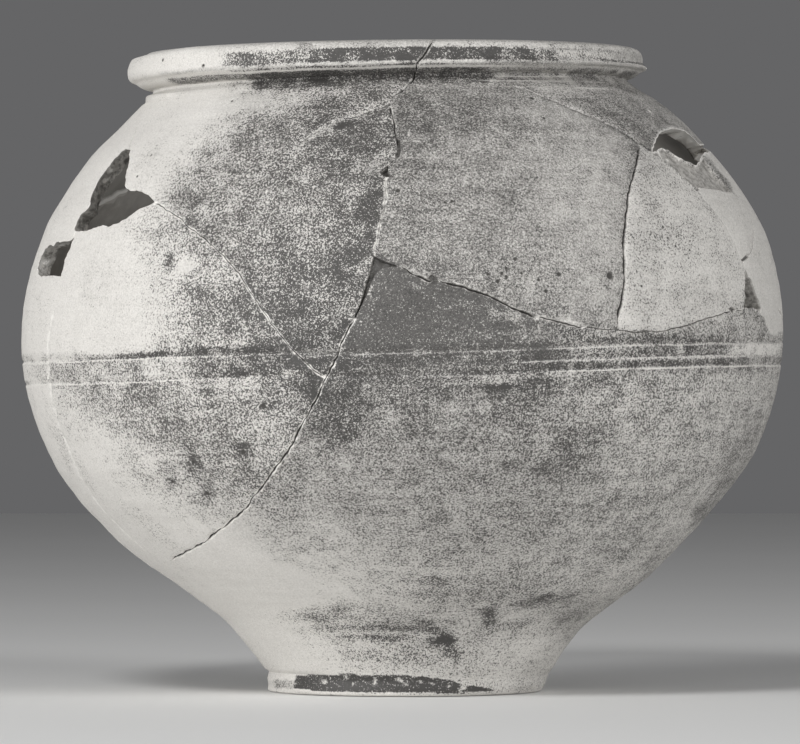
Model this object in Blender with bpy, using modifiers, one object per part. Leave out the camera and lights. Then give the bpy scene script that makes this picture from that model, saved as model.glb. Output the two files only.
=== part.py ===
"""A large wide-mouthed pottery jar, put together again from its sherds.

The jar is one fired clay vessel: a low disc foot, a round belly with two girth grooves,
a small cordon at the neck and a thick collar rim. It leans a little to its left, as the
old pot does. Four places where sherds are lost go right through its wall, and below the
right-hand one the outer skin has flaked away.

Metres, +Z up. The origin is the centre of the foot's underside. The front faces -Y.
Azimuth is counted in degrees about +Z from +X, so the front is at -90.
"""
import math

import bmesh
import bpy
from mathutils import Matrix, Vector

# Heights, each the rise of one stretch of the profile above the one below it
FOOT_HEIGHT = 0.0070
FLARE_RISE = 0.0355
BELLY_RISE = 0.1181
SHOULDER_RISE = 0.0648
UPPER_SHOULDER_RISE = 0.0396
CORDON_RISE = 0.0022
NECK_RISE = 0.0025
RIM_HEIGHT = 0.0149

# Radii, outside, from the foot to the rim
FOOT_RADIUS = 0.0624
WAIST_RADIUS = 0.0628
LOWER_BODY_RADIUS = 0.0970
BELLY_RADIUS = 0.1700
SHOULDER_RADIUS = 0.1485
NECK_BASE_RADIUS = 0.1104
CORDON_RADIUS = 0.1086
NECK_RADIUS = 0.1054
RIM_RADIUS = 0.1159

# Slopes of the outline where its curves meet, in degrees outward from straight up
WAIST_SLOPE = 29.7
LOWER_BODY_SLOPE = 53.6
BELLY_SLOPE = 0.0
SHOULDER_SLOPE = -34.7
NECK_BASE_SLOPE = -55.7

# Thicknesses
WALL = 0.0070
FLOOR = 0.0100
NECK_WALL = 0.0076
RIM_WIDTH = 0.0150

# Small forms
FOOT_EDGE = 0.0013
FLOOR_FILLET = 0.0140
COLLAR_EDGE = 0.0045
COLLAR_HOLLOW = 0.0012
COLLAR_FOOT = 0.0058
LIP_THICKNESS = 0.0025
GROOVE_WIDTH = 0.0030
GROOVE_DEPTH = 0.0009
GROOVE_BELOW_BELLY = 0.0106
GROOVE_SPACING = 0.0095

# How the thrown shape has settled: a lean, and a drift of its centre to one side
LEAN = math.radians(1.4)
LEAN_START = 0.0150
RIM_LEAN_SHARE = 0.5
BODY_DRIFT = 0.0031
BODY_DRIFT_RISE = 0.0112
LOWER_BODY_DRIFT = 0.0026
LOWER_BODY_DRIFT_HEIGHT = 0.0460
LOWER_BODY_DRIFT_REACH = 0.0213
MOUTH_DRIFT = -0.0042
MOUTH_DRIFT_RISE = 0.0280

# Lost sherds: where each lies, as an azimuth and a share of the body's height, and its
# broken edge in millimetres around and up the surface
LOST_SHERDS = {
    "upper_left": {
        "azimuth": -143.5,
        "rise": 0.842,
        "edge": (
            (-13, 22), (-5, 13), (-2, 4), (5, -1), (16, -2), (27, -7), (20, -10), (14, -15),
            (4, -19), (-25, -19), (-27, -14), (-22, -6), (-25, 2), (-25, 11), (-20, 23),
        ),
    },
    "lower_left": {
        "azimuth": -159.9,
        "rise": 0.730,
        "edge": (
            (21, 10), (12, 7), (2, 8), (-11, 7), (-21, 0), (-14, -7), (-7, -9), (6, -8),
            (19, -8), (19, -1),
        ),
    },
    "upper_right": {
        "azimuth": -26.5,
        "rise": 0.896,
        "edge": (
            (-32, -2), (-22, 3), (-13, 7), (-3, 10), (8, 12), (19, 12), (28, 6), (32, 1),
            (17, -5), (5, -9), (-1, -11), (-9, -6), (-14, -3), (-24, -2),
        ),
    },
    "right_wedge": {
        "azimuth": -25.3,
        "rise": 0.645,
        "edge": ((-5, 10), (-8, 1), (-12, -7), (1, -8), (12, -10), (5, -3), (0, 5)),
    },
}
FLAKED_SKIN = {
    "azimuth": -24.8,
    "rise": 0.853,
    "edge": (
        (-26, 15), (-30, 4), (-28, -4), (-23, -10), (-1, -11), (24, -11), (33, -9), (35, 4),
        (26, 17), (10, 12), (-3, 9), (-18, 15),
    ),
}
# The two main joins between sherds: azimuth and share of the body's height along each
JOINS = {
    "main": (
        (-91.4, 0.973), (-90.2, 0.903), (-92.2, 0.835), (-93.8, 0.717), (-96.5, 0.618),
        (-100.8, 0.523), (-105.2, 0.442), (-112.3, 0.355), (-120.4, 0.295), (-132.7, 0.244),
        (-149.6, 0.213),
    ),
    "across": (
        (-93.7, 0.709), (-85.2, 0.674), (-74.1, 0.622), (-60.5, 0.585), (-50.7, 0.578),
        (-41.9, 0.591), (-32.8, 0.616),
    ),
}
EDGE_UNIT = 0.001
JOIN_WIDTH = 0.0022
JOIN_STEP = 0.0120
FLAKE_DEPTH = 0.0015
CUT_CLEARANCE = 0.0060

# How finely the curves are faceted, and how near corners are to be one corner
TURNS = 60
CURVE_STEPS = (4, 9, 5, 5)
INNER_CURVE_STEPS = (4, 5, 3, 3)
HALVINGS = 40
MERGE_DISTANCE = 0.00005
WELD_DISTANCE = 0.00002
SHARP_ANGLE = math.radians(35)

CLAY_COLOUR = (0.55, 0.53, 0.50, 1.0)
CLAY_ROUGHNESS = 0.85

FOOT_TOP = FOOT_HEIGHT
LOWER_BODY_TOP = FOOT_TOP + FLARE_RISE
BELLY_HEIGHT = LOWER_BODY_TOP + BELLY_RISE
SHOULDER_HEIGHT = BELLY_HEIGHT + SHOULDER_RISE
NECK_BASE = SHOULDER_HEIGHT + UPPER_SHOULDER_RISE
CORDON_TOP = NECK_BASE + CORDON_RISE
NECK_HEIGHT = CORDON_TOP + NECK_RISE
RIM_TOP = NECK_HEIGHT + RIM_HEIGHT

# The body's outline: radius, height and slope where its curves meet
STATIONS = (
    (WAIST_RADIUS, FOOT_TOP, WAIST_SLOPE),
    (LOWER_BODY_RADIUS, LOWER_BODY_TOP, LOWER_BODY_SLOPE),
    (BELLY_RADIUS, BELLY_HEIGHT, BELLY_SLOPE),
    (SHOULDER_RADIUS, SHOULDER_HEIGHT, SHOULDER_SLOPE),
    (NECK_BASE_RADIUS, NECK_BASE, NECK_BASE_SLOPE),
)
# Length of each curve's two handles, as shares of the distance between its ends
HANDLES = ((0.50, 0.20), (0.33, 0.41), (0.30, 0.37), (0.51, 0.12))


def clear_scene():
    """Remove every object, so that the file holds only this jar."""
    for thing in list(bpy.data.objects):
        bpy.data.objects.remove(thing, do_unlink=True)


def new_collection(name):
    """Make a collection under the scene."""
    collection = bpy.data.collections.new(name)
    bpy.context.scene.collection.children.link(collection)
    return collection


def direction(slope):
    """Unit step in (radius, height) along the outline at this slope."""
    angle = math.radians(slope)
    return Vector((math.sin(angle), math.cos(angle)))


def curve_point(index, share):
    """Point of the body's outline on one of its curves, and the outward normal there."""
    radius_a, height_a, slope_a = STATIONS[index]
    radius_b, height_b, slope_b = STATIONS[index + 1]
    start = Vector((radius_a, height_a))
    end = Vector((radius_b, height_b))
    chord = (end - start).length
    first = start + direction(slope_a) * HANDLES[index][0] * chord
    second = end - direction(slope_b) * HANDLES[index][1] * chord
    rest = 1.0 - share
    point = start * rest**3 + first * 3 * rest**2 * share
    point = point + second * 3 * rest * share**2 + end * share**3
    along = (first - start) * rest**2 + (second - first) * 2 * rest * share
    along = along + (end - second) * share**2
    along.normalize()
    return point, Vector((along.y, -along.x))


def body_outline(inset=0.0, curve_steps=CURVE_STEPS):
    """The body's outline from the waist to the neck's base, moved inward by inset."""
    points = []
    for index, steps in enumerate(curve_steps):
        first = 0 if index == 0 else 1
        for step in range(first, steps + 1):
            point, normal = curve_point(index, step / steps)
            points.append(point - normal * inset)
    return points


def body_height(rise):
    """Height of a place on the body, given as a share from its waist to its neck."""
    return FOOT_TOP + (NECK_BASE - FOOT_TOP) * rise


def outline_at(height):
    """Point and outward normal of the body's outline at this height."""
    index = 0
    while index < len(STATIONS) - 2 and height > STATIONS[index + 1][1]:
        index += 1
    low, high = 0.0, 1.0
    for _ in range(HALVINGS):
        middle = (low + high) / 2
        if curve_point(index, middle)[0].y < height:
            low = middle
        else:
            high = middle
    return curve_point(index, low)


def with_grooves(points):
    """Lay the two girth grooves into the outline, in place of the points they cover."""
    for turn in range(2):
        middle = BELLY_HEIGHT - GROOVE_BELOW_BELLY - GROOVE_SPACING * turn
        low = middle - GROOVE_WIDTH / 2
        high = middle + GROOVE_WIDTH / 2
        bottom, _ = outline_at(low)
        deepest, normal = outline_at(low + GROOVE_WIDTH / 4)
        top, _ = outline_at(high)
        groove = [bottom, deepest - normal * GROOVE_DEPTH, top]
        margin = GROOVE_WIDTH / 2
        below = [p for p in points if p.y < low - margin]
        above = [p for p in points if p.y > high + margin]
        points = below + groove + above
    return points


def collar_outline():
    """The cordon, the neck's notch and the outer face of the collar rim, going up."""
    lip = NECK_HEIGHT + COLLAR_FOOT
    face_low = lip + LIP_THICKNESS
    face_high = RIM_TOP - COLLAR_EDGE
    return [
        Vector((CORDON_RADIUS, CORDON_TOP)),
        Vector((NECK_RADIUS, NECK_HEIGHT)),
        Vector((RIM_RADIUS - COLLAR_FOOT / 2, NECK_HEIGHT + COLLAR_FOOT * 0.4)),
        Vector((RIM_RADIUS, lip)),
        Vector((RIM_RADIUS - COLLAR_HOLLOW, face_low)),
        Vector((RIM_RADIUS - COLLAR_HOLLOW * 0.9, face_high)),
        Vector((RIM_RADIUS - COLLAR_HOLLOW - COLLAR_EDGE * 0.25, RIM_TOP - COLLAR_EDGE * 0.45)),
        Vector((RIM_RADIUS - COLLAR_HOLLOW - COLLAR_EDGE * 0.8, RIM_TOP - COLLAR_EDGE * 0.08)),
    ]


def mouth_outline():
    """The top of the rim and the inside of the neck, going down."""
    inner = RIM_RADIUS - RIM_WIDTH
    neck = NECK_RADIUS - NECK_WALL
    return [
        Vector((RIM_RADIUS - RIM_WIDTH * 0.55, RIM_TOP)),
        Vector((inner + COLLAR_EDGE * 0.35, RIM_TOP - COLLAR_EDGE * 0.3)),
        Vector((inner, RIM_TOP - COLLAR_EDGE)),
        Vector((neck, NECK_HEIGHT + NECK_RISE)),
        Vector((neck, NECK_BASE)),
    ]


def inner_outline():
    """The inside of the body, going down from the shoulder to the middle of the floor."""
    fillet_top = FLOOR + FLOOR_FILLET * 0.35
    points = [p for p in body_outline(WALL, INNER_CURVE_STEPS) if p.y > fillet_top]
    points.reverse()
    corner = points[-1]
    points.append(Vector((corner.x - FLOOR_FILLET * 0.4, FLOOR + FLOOR_FILLET * 0.1)))
    points.append(Vector((corner.x - FLOOR_FILLET, FLOOR)))
    points.append(Vector((0.0, FLOOR)))
    return points


def foot_outline():
    """The disc foot, going up from the middle of its underside."""
    return [
        Vector((0.0, 0.0)),
        Vector((FOOT_RADIUS - FOOT_EDGE, 0.0)),
        Vector((FOOT_RADIUS, FOOT_EDGE)),
        Vector((FOOT_RADIUS, FOOT_HEIGHT * 0.7)),
    ]


def turned(name, points, collection):
    """Turn an outline of (radius, height) points, given going up its outer side."""
    corners = [(p.x, 0.0, p.y) for p in reversed(points)]
    edges = [(i, i + 1) for i in range(len(corners) - 1)]
    mesh = bpy.data.meshes.new(name)
    mesh.from_pydata(corners, edges, [])
    thing = bpy.data.objects.new(name, mesh)
    collection.objects.link(thing)
    screw = thing.modifiers.new("Turn", "SCREW")
    screw.axis = "Z"
    screw.angle = math.tau
    screw.steps = TURNS
    screw.render_steps = TURNS
    screw.use_merge_vertices = True
    screw.merge_threshold = MERGE_DISTANCE
    return thing


def evaluated_mesh(thing):
    """The mesh of an object with its modifiers, in its own coordinates."""
    bpy.context.view_layer.update()
    depsgraph = bpy.context.evaluated_depsgraph_get()
    return bpy.data.meshes.new_from_object(thing.evaluated_get(depsgraph))


def surface_frame(azimuth, height):
    """Matrix at a point of the body: X runs around it, Y up its slope and Z outward."""
    point, normal = outline_at(height)
    around = Vector((0.0, 1.0, 0.0))
    outward = Vector((normal.x, 0.0, normal.y))
    upward = outward.cross(around)
    frame = Matrix((around, upward, outward)).transposed().to_4x4()
    frame.translation = Vector((point.x, 0.0, point.y))
    return Matrix.Rotation(math.radians(azimuth), 4, "Z") @ frame


def edge_reach(edge):
    """Distance from a broken edge's middle to its farthest corner."""
    return max(math.hypot(x, y) for x, y in edge) * EDGE_UNIT


def broken_block(name, place, collection):
    """A block with a broken edge's outline, long enough to pass through the wall."""
    edge = place["edge"]
    curve = bpy.data.curves.new(name, "CURVE")
    curve.dimensions = "2D"
    curve.fill_mode = "BOTH"
    sagitta = edge_reach(edge) ** 2 / (2 * SHOULDER_RADIUS)
    curve.extrude = WALL + sagitta + CUT_CLEARANCE
    spline = curve.splines.new("POLY")
    spline.points.add(len(edge) - 1)
    for corner, (x, y) in zip(spline.points, edge):
        corner.co = (x * EDGE_UNIT, y * EDGE_UNIT, 0.0, 1.0)
    spline.use_cyclic_u = True
    frame = surface_frame(place["azimuth"], body_height(place["rise"]))
    return curve_cutter(name, curve, frame, collection)


def join_groove(name, route, collection):
    """A thin four-sided tube that follows a join over the surface of the body."""
    points = []
    for (azimuth_a, rise_a), (azimuth_b, rise_b) in zip(route, route[1:]):
        start = surface_frame(azimuth_a, body_height(rise_a)).translation
        end = surface_frame(azimuth_b, body_height(rise_b)).translation
        count = max(1, round((end - start).length / JOIN_STEP))
        for step in range(count):
            share = step / count
            azimuth = azimuth_a + (azimuth_b - azimuth_a) * share
            rise = rise_a + (rise_b - rise_a) * share
            points.append(surface_frame(azimuth, body_height(rise)).translation)
    points.append(surface_frame(route[-1][0], body_height(route[-1][1])).translation)
    curve = bpy.data.curves.new(name, "CURVE")
    curve.dimensions = "3D"
    curve.bevel_depth = JOIN_WIDTH / 2
    curve.bevel_resolution = 0
    curve.use_fill_caps = True
    spline = curve.splines.new("POLY")
    spline.points.add(len(points) - 1)
    for corner, point in zip(spline.points, points):
        corner.co = (*point, 1.0)
    return curve_cutter(name, curve, Matrix.Identity(4), collection)


def curve_cutter(name, curve, frame, collection):
    """Make a curve a closed mesh that cuts, and put it in its place."""
    outline = bpy.data.objects.new(name, curve)
    collection.objects.link(outline)
    mesh = evaluated_mesh(outline)
    work = bmesh.new()
    work.from_mesh(mesh)
    bmesh.ops.remove_doubles(work, verts=work.verts, dist=WELD_DISTANCE)
    bmesh.ops.recalc_face_normals(work, faces=work.faces)
    work.to_mesh(mesh)
    work.free()
    bpy.data.objects.remove(outline)
    block = bpy.data.objects.new(name, mesh)
    block.matrix_world = frame
    collection.objects.link(block)
    as_cutter(block)
    return block


def as_cutter(thing):
    """Mark an object as a cutter: not rendered, and drawn as wire."""
    thing.hide_render = True
    thing.display_type = "WIRE"


def cut(thing, cutter):
    """Take the cutter's volume away from an object."""
    boolean = thing.modifiers.new(cutter.name, "BOOLEAN")
    boolean.operation = "DIFFERENCE"
    boolean.solver = "EXACT"
    boolean.object = cutter


def smooth_share(value):
    """Ease from 0 to 1 as value goes from 0 to 1."""
    share = min(max(value, 0.0), 1.0)
    return share * share * (3.0 - 2.0 * share)


def drift(height):
    """How far the pot's centre lies to +X of its foot's centre, before the lean."""
    body = BODY_DRIFT * smooth_share(height / BODY_DRIFT_RISE)
    bulge = 1.0 - abs(height - LOWER_BODY_DRIFT_HEIGHT) / LOWER_BODY_DRIFT_REACH
    lower = LOWER_BODY_DRIFT * smooth_share(bulge)
    pull_start = NECK_BASE - MOUTH_DRIFT_RISE / 2
    mouth = MOUTH_DRIFT * smooth_share((height - pull_start) / MOUTH_DRIFT_RISE)
    return body + lower + mouth


def slant(height):
    """How much of the lean a level turn of the pot shows at this height.

    The underside is level, and the top of the rim was trimmed nearer to level too.
    """
    foot = smooth_share(height / LEAN_START)
    rim = smooth_share((height - NECK_HEIGHT) / RIM_HEIGHT)
    return foot * (1.0 - (1.0 - RIM_LEAN_SHARE) * rim)


def settle(mesh):
    """Lean and drift a mesh of the straight pot, leaving its underside flat."""
    for vertex in mesh.vertices:
        x, _, height = vertex.co
        vertex.co.x = x - height * math.sin(LEAN) + drift(height)
        vertex.co.z = height + x * math.sin(LEAN) * slant(height)


def clay():
    """Pale fired clay, matt."""
    material = bpy.data.materials.new("fired_clay")
    material.use_nodes = True
    shader = material.node_tree.nodes["Principled BSDF"]
    shader.inputs["Base Color"].default_value = CLAY_COLOUR
    shader.inputs["Roughness"].default_value = CLAY_ROUGHNESS
    shader.inputs["Metallic"].default_value = 0.0
    return material


def build_jar(parts, cutters):
    """The whole jar: turned, broken, flaked and then settled."""
    outside = foot_outline() + with_grooves(body_outline()) + collar_outline()
    outline = outside + mouth_outline() + inner_outline()
    jar = turned("jar", outline, parts)
    for name, place in LOST_SHERDS.items():
        cut(jar, broken_block("lost_" + name, place, cutters))
    core_side = body_outline(FLAKE_DEPTH)
    core_floor = Vector((0.0, core_side[0].y))
    core_top = Vector((0.0, core_side[-1].y))
    core = turned("under_skin", [core_floor] + core_side + [core_top], cutters)
    as_cutter(core)
    flake = broken_block("flaked_skin", FLAKED_SKIN, cutters)
    cut(flake, core)
    cut(jar, flake)
    for name, route in JOINS.items():
        cut(jar, join_groove("join_" + name, route, cutters))
    mesh = evaluated_mesh(jar)
    jar.modifiers.clear()
    settle(mesh)
    mesh.materials.append(clay())
    mesh.shade_smooth()
    mesh.set_sharp_from_angle(angle=SHARP_ANGLE)
    jar.data = mesh
    return jar


def main():
    clear_scene()
    parts = new_collection("pottery_jar")
    cutters = new_collection("cutters")
    build_jar(parts, cutters)


main()
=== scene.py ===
"""The looks of a large wide-mouthed pottery jar, put together again from its sherds.

The jar is one mesh, made over the solid's own outline: rows of points up the outside, over
the rim and down the inside, with more points along its joins, broken edges, girth grooves
and pits. Every relief is a number of millimetres along the surface's normal, and what is
left of the dark slip is kept as values on the points, which the clay's material reads.

Lengths are in millimetres until the mesh is made. Places on the surface are (along, turn):
along is the distance up the outline from the middle of the underside, and turn is the angle
around the jar in radians, 0 at the front and growing towards +X. Places that were taken from
the photograph are pixels of its 800 x 744 frame, and a name that ends in _PX says so.
"""
import math
from itertools import product
import bpy
import numpy as np
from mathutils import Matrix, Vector, kdtree, noise
from mathutils.geometry import delaunay_2d_cdt

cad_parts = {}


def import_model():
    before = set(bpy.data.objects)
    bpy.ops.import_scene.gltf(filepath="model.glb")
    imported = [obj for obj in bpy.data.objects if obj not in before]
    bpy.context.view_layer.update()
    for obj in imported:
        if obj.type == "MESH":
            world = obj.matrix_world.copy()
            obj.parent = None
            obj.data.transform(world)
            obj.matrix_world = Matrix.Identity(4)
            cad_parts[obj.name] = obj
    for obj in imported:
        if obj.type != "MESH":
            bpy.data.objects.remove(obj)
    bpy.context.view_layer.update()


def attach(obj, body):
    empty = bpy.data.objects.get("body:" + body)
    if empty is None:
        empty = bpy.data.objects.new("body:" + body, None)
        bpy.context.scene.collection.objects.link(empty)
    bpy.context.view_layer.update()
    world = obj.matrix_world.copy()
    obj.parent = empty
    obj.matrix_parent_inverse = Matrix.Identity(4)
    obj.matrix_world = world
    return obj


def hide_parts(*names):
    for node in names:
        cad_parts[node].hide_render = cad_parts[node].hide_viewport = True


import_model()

MM = 0.001

# The photograph's frame and its camera, in pixels and millimetres
PHOTO_WIDTH = 800
PHOTO_HEIGHT = 744
LEVEL_ROW = 385.0
FOCAL_PX = 6500.0
CAMERA = np.array((-1.96, -2900.0, 136.1))
SENSOR = 36.0

# The thrown outline, as in the solid: radius, height and slope outward from upright
STATIONS = (
    (62.8, 7.0, 29.7),
    (97.0, 42.5, 53.6),
    (170.0, 160.6, 0.0),
    (148.5, 225.4, -34.7),
    (110.4, 265.0, -55.7),
)
HANDLES = ((0.5, 0.2), (0.33, 0.41), (0.3, 0.37), (0.51, 0.12))
WALL = 7.0
FLOOR = 10.0
FOOT_CURVE = ((60.4, 0.0), (61.7, 0.4), (62.5, 1.6), (62.8, 3.6), (62.7, 5.4), (62.8, 7.0))
COLLAR_CURVE = (
    (110.4, 265.0), (107.7, 267.0), (105.8, 268.7), (105.5, 269.8), (108.0, 270.2),
    (111.8, 271.5), (114.4, 273.3), (115.3, 274.5), (114.7, 276.0), (114.3, 277.8),
    (114.1, 279.8), (113.7, 281.6), (112.7, 283.1), (110.6, 284.1), (107.0, 284.5),
    (103.6, 283.9),
    (101.2, 281.0), (100.2, 277.6), (98.6, 272.6), (97.9, 268.4), (98.9, 264.4),
    (102.2, 261.4), (106.456, 259.218),
)
HUB_RADIUS = 6.0

# How the thrown shape has settled: a lean, and a drift of its centre, as in the solid
LEAN = math.radians(1.4)
LEAN_START = 15.0
NECK_HEIGHT = 269.7
RIM_HEIGHT = 14.9
RIM_LEAN_SHARE = 0.5
BODY_DRIFT = 3.1
BODY_DRIFT_RISE = 11.2
LOWER_BODY_DRIFT = 2.6
LOWER_BODY_DRIFT_HEIGHT = 46.0
LOWER_BODY_DRIFT_REACH = 21.3
MOUTH_DRIFT = -4.2
MOUTH_DRIFT_RISE = 28.0
NECK_BASE = 265.0

# More than any distance that matters on the surface
FAR = 99.0

# Distances between the mesh's points
FRONT_STEP = 2.25
BACK_STEP = 4.0
ROW_SHARE = 0.875
FRONT_HALF = math.radians(100)
FRONT_FADE = math.radians(18)
INSIDE_STEP = 5.6
INSIDE_ROW_STEP = 4.0
CORNER_ROW_STEP = 2.6
FLAT_ROW_STEP = 4.2
FOOT_ROW_STEP = 0.6
ABOVE_FOOT_ROWS = (0.0, 0.7, 1.5, 2.4, 3.4, 4.6, 6.0)
BELOW_COLLAR_ROWS = (4.0, 2.8, 1.8, 0.9)
UNDERSIDE_STEP = 3.5
CORNER_STEP = 4.0
FLOOR_STEP = 4.5
# The collar's rows: how far its lower and upper parts reach, and the steps of its three parts
COLLAR_LOW = 12.0
COLLAR_TOP = 14.0
COLLAR_END_ROOM = 1.0
COLLAR_ROW_STEPS = (0.62, 0.85, 2.2)
# Rows of the grooves' band that are nearer than this to the last one are left out
ROW_GAP = 0.3
# The bands' steps around, as shares of the usual ones at the front and at the back
BAND_STEP_SHARES = (0.88, 0.92, 1.2)
BAND_BACK_SHARE = 0.8
# Points nearer than this are one
SAME = 1e-6
# Distances that points keep from the marks on the surface and from one another
ROW_ROOM = 1.15
BAND_ROOM = 0.45
JOIN_ROOM = 0.55
MARK_ROOM = 0.22

# Girth grooves: height of each one's worn lower edge, and its shape across
UPPER_GROOVE = 149.9
LOWER_GROOVE = 140.1
MIDDLE_GROOVE = 144.6
GROOVE_ROWS = (-1.6, -0.8, -0.35, 0.0, 0.4, 0.9, 1.7, 3.0)
# Degrees around from the front, and how far the grooves stand above their usual height
GROOVE_RISE = (
    (-180, 0), (-80, -0.3), (-50, 0), (-38, 0.3), (-17, 0.4), (-14, 0.35), (-13.4, -0.5),
    (2, -0.5), (13, -0.4), (19, 0), (25, 0.4), (52, 0.8), (72, 0.7), (110, 0.2), (180, 0),
)

# Where the real outline stands off the thrown one: height, and millimetres at the left and right
TRIM = (
    (3, -1.6, -0.4), (6, -0.5, -0.3), (12, 0, -0.3), (25, -0.3, -0.4), (33, -1, 0.2),
    (40, -0.6, -0.3), (54, -1, -0.5), (68, -0.7, -0.2), (77, -0.8, -0.6), (86, -0.2, -0.3),
    (100, 0.3, 0.6), (115, 0, 0), (154, 0, -0.6), (163, -0.3, -0.7), (180, -0.5, -0.4),
    (200, -0.4, 0.5), (212, 0.2, 0), (226, 0, -0.4), (240, 0.4, -0.9), (250, -0.4, -0.6),
    (258, -0.8, -0.6), (262, -0.8, -0.5), (265, -0.2, -0.6), (268, 0, 0),
)


def smooth_share(value):
    """Ease from 0 to 1 as value goes from 0 to 1."""
    share = np.clip(value, 0.0, 1.0)
    return share * share * (3.0 - 2.0 * share)


def bell(distance, width):
    """1 at no distance, falling smoothly, about a tenth at 1.5 widths."""
    return np.exp(-(np.asarray(distance) / width) ** 2)


def wave(values, seed):
    """Smooth noise along a line, about -1 to 1, one wiggle to each unit."""
    return np.array([2.0 * noise.noise(Vector((v, seed * 7.31, 0.5))) for v in values])


def cloud(points, size, seed, octaves=2):
    """Smooth noise in space, about -1 to 1, with lumps of this size in millimetres."""
    shift = Vector((seed * 17.3, seed * 5.1, seed * 9.7))
    scaled = points / size
    return np.array([noise.fractal(Vector(p) + shift, 1.0, 2.0, octaves) for p in scaled])


# The outline


def tangent(slope):
    angle = math.radians(slope)
    return np.array((math.sin(angle), math.cos(angle)))


def bezier(start, first, second, end, steps):
    share = np.linspace(0.0, 1.0, steps + 1)[:, None]
    rest = 1.0 - share
    curve = start * rest**3 + first * 3 * rest**2 * share
    return curve + second * 3 * rest * share**2 + end * share**3


def body_curve(inset):
    """The body's outline from the waist to the neck's base, moved inward by inset."""
    pieces = []
    for index, (start_share, end_share) in enumerate(HANDLES):
        start = np.array(STATIONS[index][:2])
        end = np.array(STATIONS[index + 1][:2])
        chord = np.linalg.norm(end - start)
        first = start + tangent(STATIONS[index][2]) * start_share * chord
        second = end - tangent(STATIONS[index + 1][2]) * end_share * chord
        pieces.append(bezier(start, first, second, end, 160)[0 if index == 0 else 1:])
    curve = np.vstack(pieces)
    along = np.gradient(curve, axis=0)
    along /= np.linalg.norm(along, axis=1)[:, None]
    return curve - np.column_stack((along[:, 1], -along[:, 0])) * inset


def smooth_curve(corners, steps=14):
    """A curve through these corners (Catmull-Rom)."""
    c = np.array(corners)
    c = np.vstack((2 * c[0] - c[1], c, 2 * c[-1] - c[-2]))
    share = np.linspace(0.0, 1.0, steps, endpoint=False)[:, None]
    pieces = []
    for a, b, d, e in zip(c, c[1:], c[2:], c[3:]):
        piece = 2 * b + (d - a) * share + (2 * a - 5 * b + 4 * d - e) * share**2
        pieces.append(0.5 * (piece + (3 * b - a - 3 * d + e) * share**3))
    return np.vstack(pieces + [c[-2:-1]])


def floor_curve(wall_end):
    """The rounded corner between the inner wall and the floor."""
    radius = wall_end[0]
    return smooth_curve((wall_end, (radius - 5.6, FLOOR + 1.4), (radius - 14.0, FLOOR)))


def even_steps(curve, step):
    """The same curve with its points at even distances."""
    gaps = np.linalg.norm(np.diff(curve, axis=0), axis=1)
    keep = np.concatenate(([True], gaps > SAME))
    curve = curve[keep]
    at = np.concatenate(([0.0], np.cumsum(np.linalg.norm(np.diff(curve, axis=0), axis=1))))
    count = max(2, round(at[-1] / step) + 1)
    wanted = np.linspace(0.0, at[-1], count)
    return np.column_stack([np.interp(wanted, at, curve[:, i]) for i in range(curve.shape[1])])


inner_wall = body_curve(WALL)[::-1]
inner_wall = inner_wall[inner_wall[:, 1] > FLOOR + 4.9]
inner_floor = floor_curve(inner_wall[-1])
STRETCHES = (
    ("underside", np.array(((HUB_RADIUS, 0.0), FOOT_CURVE[0]))),
    ("foot", smooth_curve(FOOT_CURVE)),
    ("body", body_curve(0.0)),
    ("collar", smooth_curve(COLLAR_CURVE)),
    ("inside", inner_wall),
    ("corner", inner_floor),
    ("floor", np.array((inner_floor[-1], (HUB_RADIUS, FLOOR)))),
)
OUTLINE = []
START = {}
END = {}
length = 0.0
for stretch_name, stretch in STRETCHES:
    even = even_steps(stretch, 0.25)
    START[stretch_name] = length
    length += np.linalg.norm(np.diff(even, axis=0), axis=1).sum()
    END[stretch_name] = length
    OUTLINE.append(even if not OUTLINE else even[1:])
OUTLINE = np.vstack(OUTLINE)
ALONG = np.concatenate(([0.0], np.cumsum(np.linalg.norm(np.diff(OUTLINE, axis=0), axis=1))))
slopes = np.gradient(OUTLINE, axis=0)
kernel = np.ones(7) / 7.0
slopes = np.column_stack([
    np.convolve(np.pad(slopes[:, i], 3, "edge"), kernel, "valid") for i in (0, 1)])
slopes /= np.linalg.norm(slopes, axis=1)[:, None]
NORMAL = np.column_stack((slopes[:, 1], -slopes[:, 0]))
# Distance along the outline over the radius: in this and turn, small shapes keep their angles
mean_radius = 0.5 * (OUTLINE[1:, 0] + OUTLINE[:-1, 0])
EVEN = np.concatenate(([0.0], np.cumsum(np.diff(ALONG) / mean_radius)))
OUTSIDE = ALONG <= ALONG[np.argmax(OUTLINE[:, 1])]
OUTSIDE_END = ALONG[OUTSIDE][-1]
INNER_WALL = (ALONG >= START["inside"]) & (ALONG <= END["inside"])


def radius_at(along):
    return np.interp(along, ALONG, OUTLINE[:, 0])


def height_at(along):
    return np.interp(along, ALONG, OUTLINE[:, 1])


def even_at(along):
    return np.interp(along, ALONG, EVEN)


def along_at_height(height):
    """Distance along the outline of a height on the outside."""
    return np.interp(height, OUTLINE[OUTSIDE, 1][1:], ALONG[OUTSIDE][1:])


def thrown(along, turn, relief=0.0):
    """Points in the straight thrown frame, raised by their relief."""
    radius = radius_at(along) + relief * np.interp(along, ALONG, NORMAL[:, 0])
    height = height_at(along) + relief * np.interp(along, ALONG, NORMAL[:, 1])
    return np.column_stack((radius * np.sin(turn), -radius * np.cos(turn), height))


def drift(height):
    body = BODY_DRIFT * smooth_share(height / BODY_DRIFT_RISE)
    bulge = 1.0 - abs(height - LOWER_BODY_DRIFT_HEIGHT) / LOWER_BODY_DRIFT_REACH
    mouth = (height - (NECK_BASE - MOUTH_DRIFT_RISE / 2)) / MOUTH_DRIFT_RISE
    return body + LOWER_BODY_DRIFT * smooth_share(bulge) + MOUTH_DRIFT * smooth_share(mouth)


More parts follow.
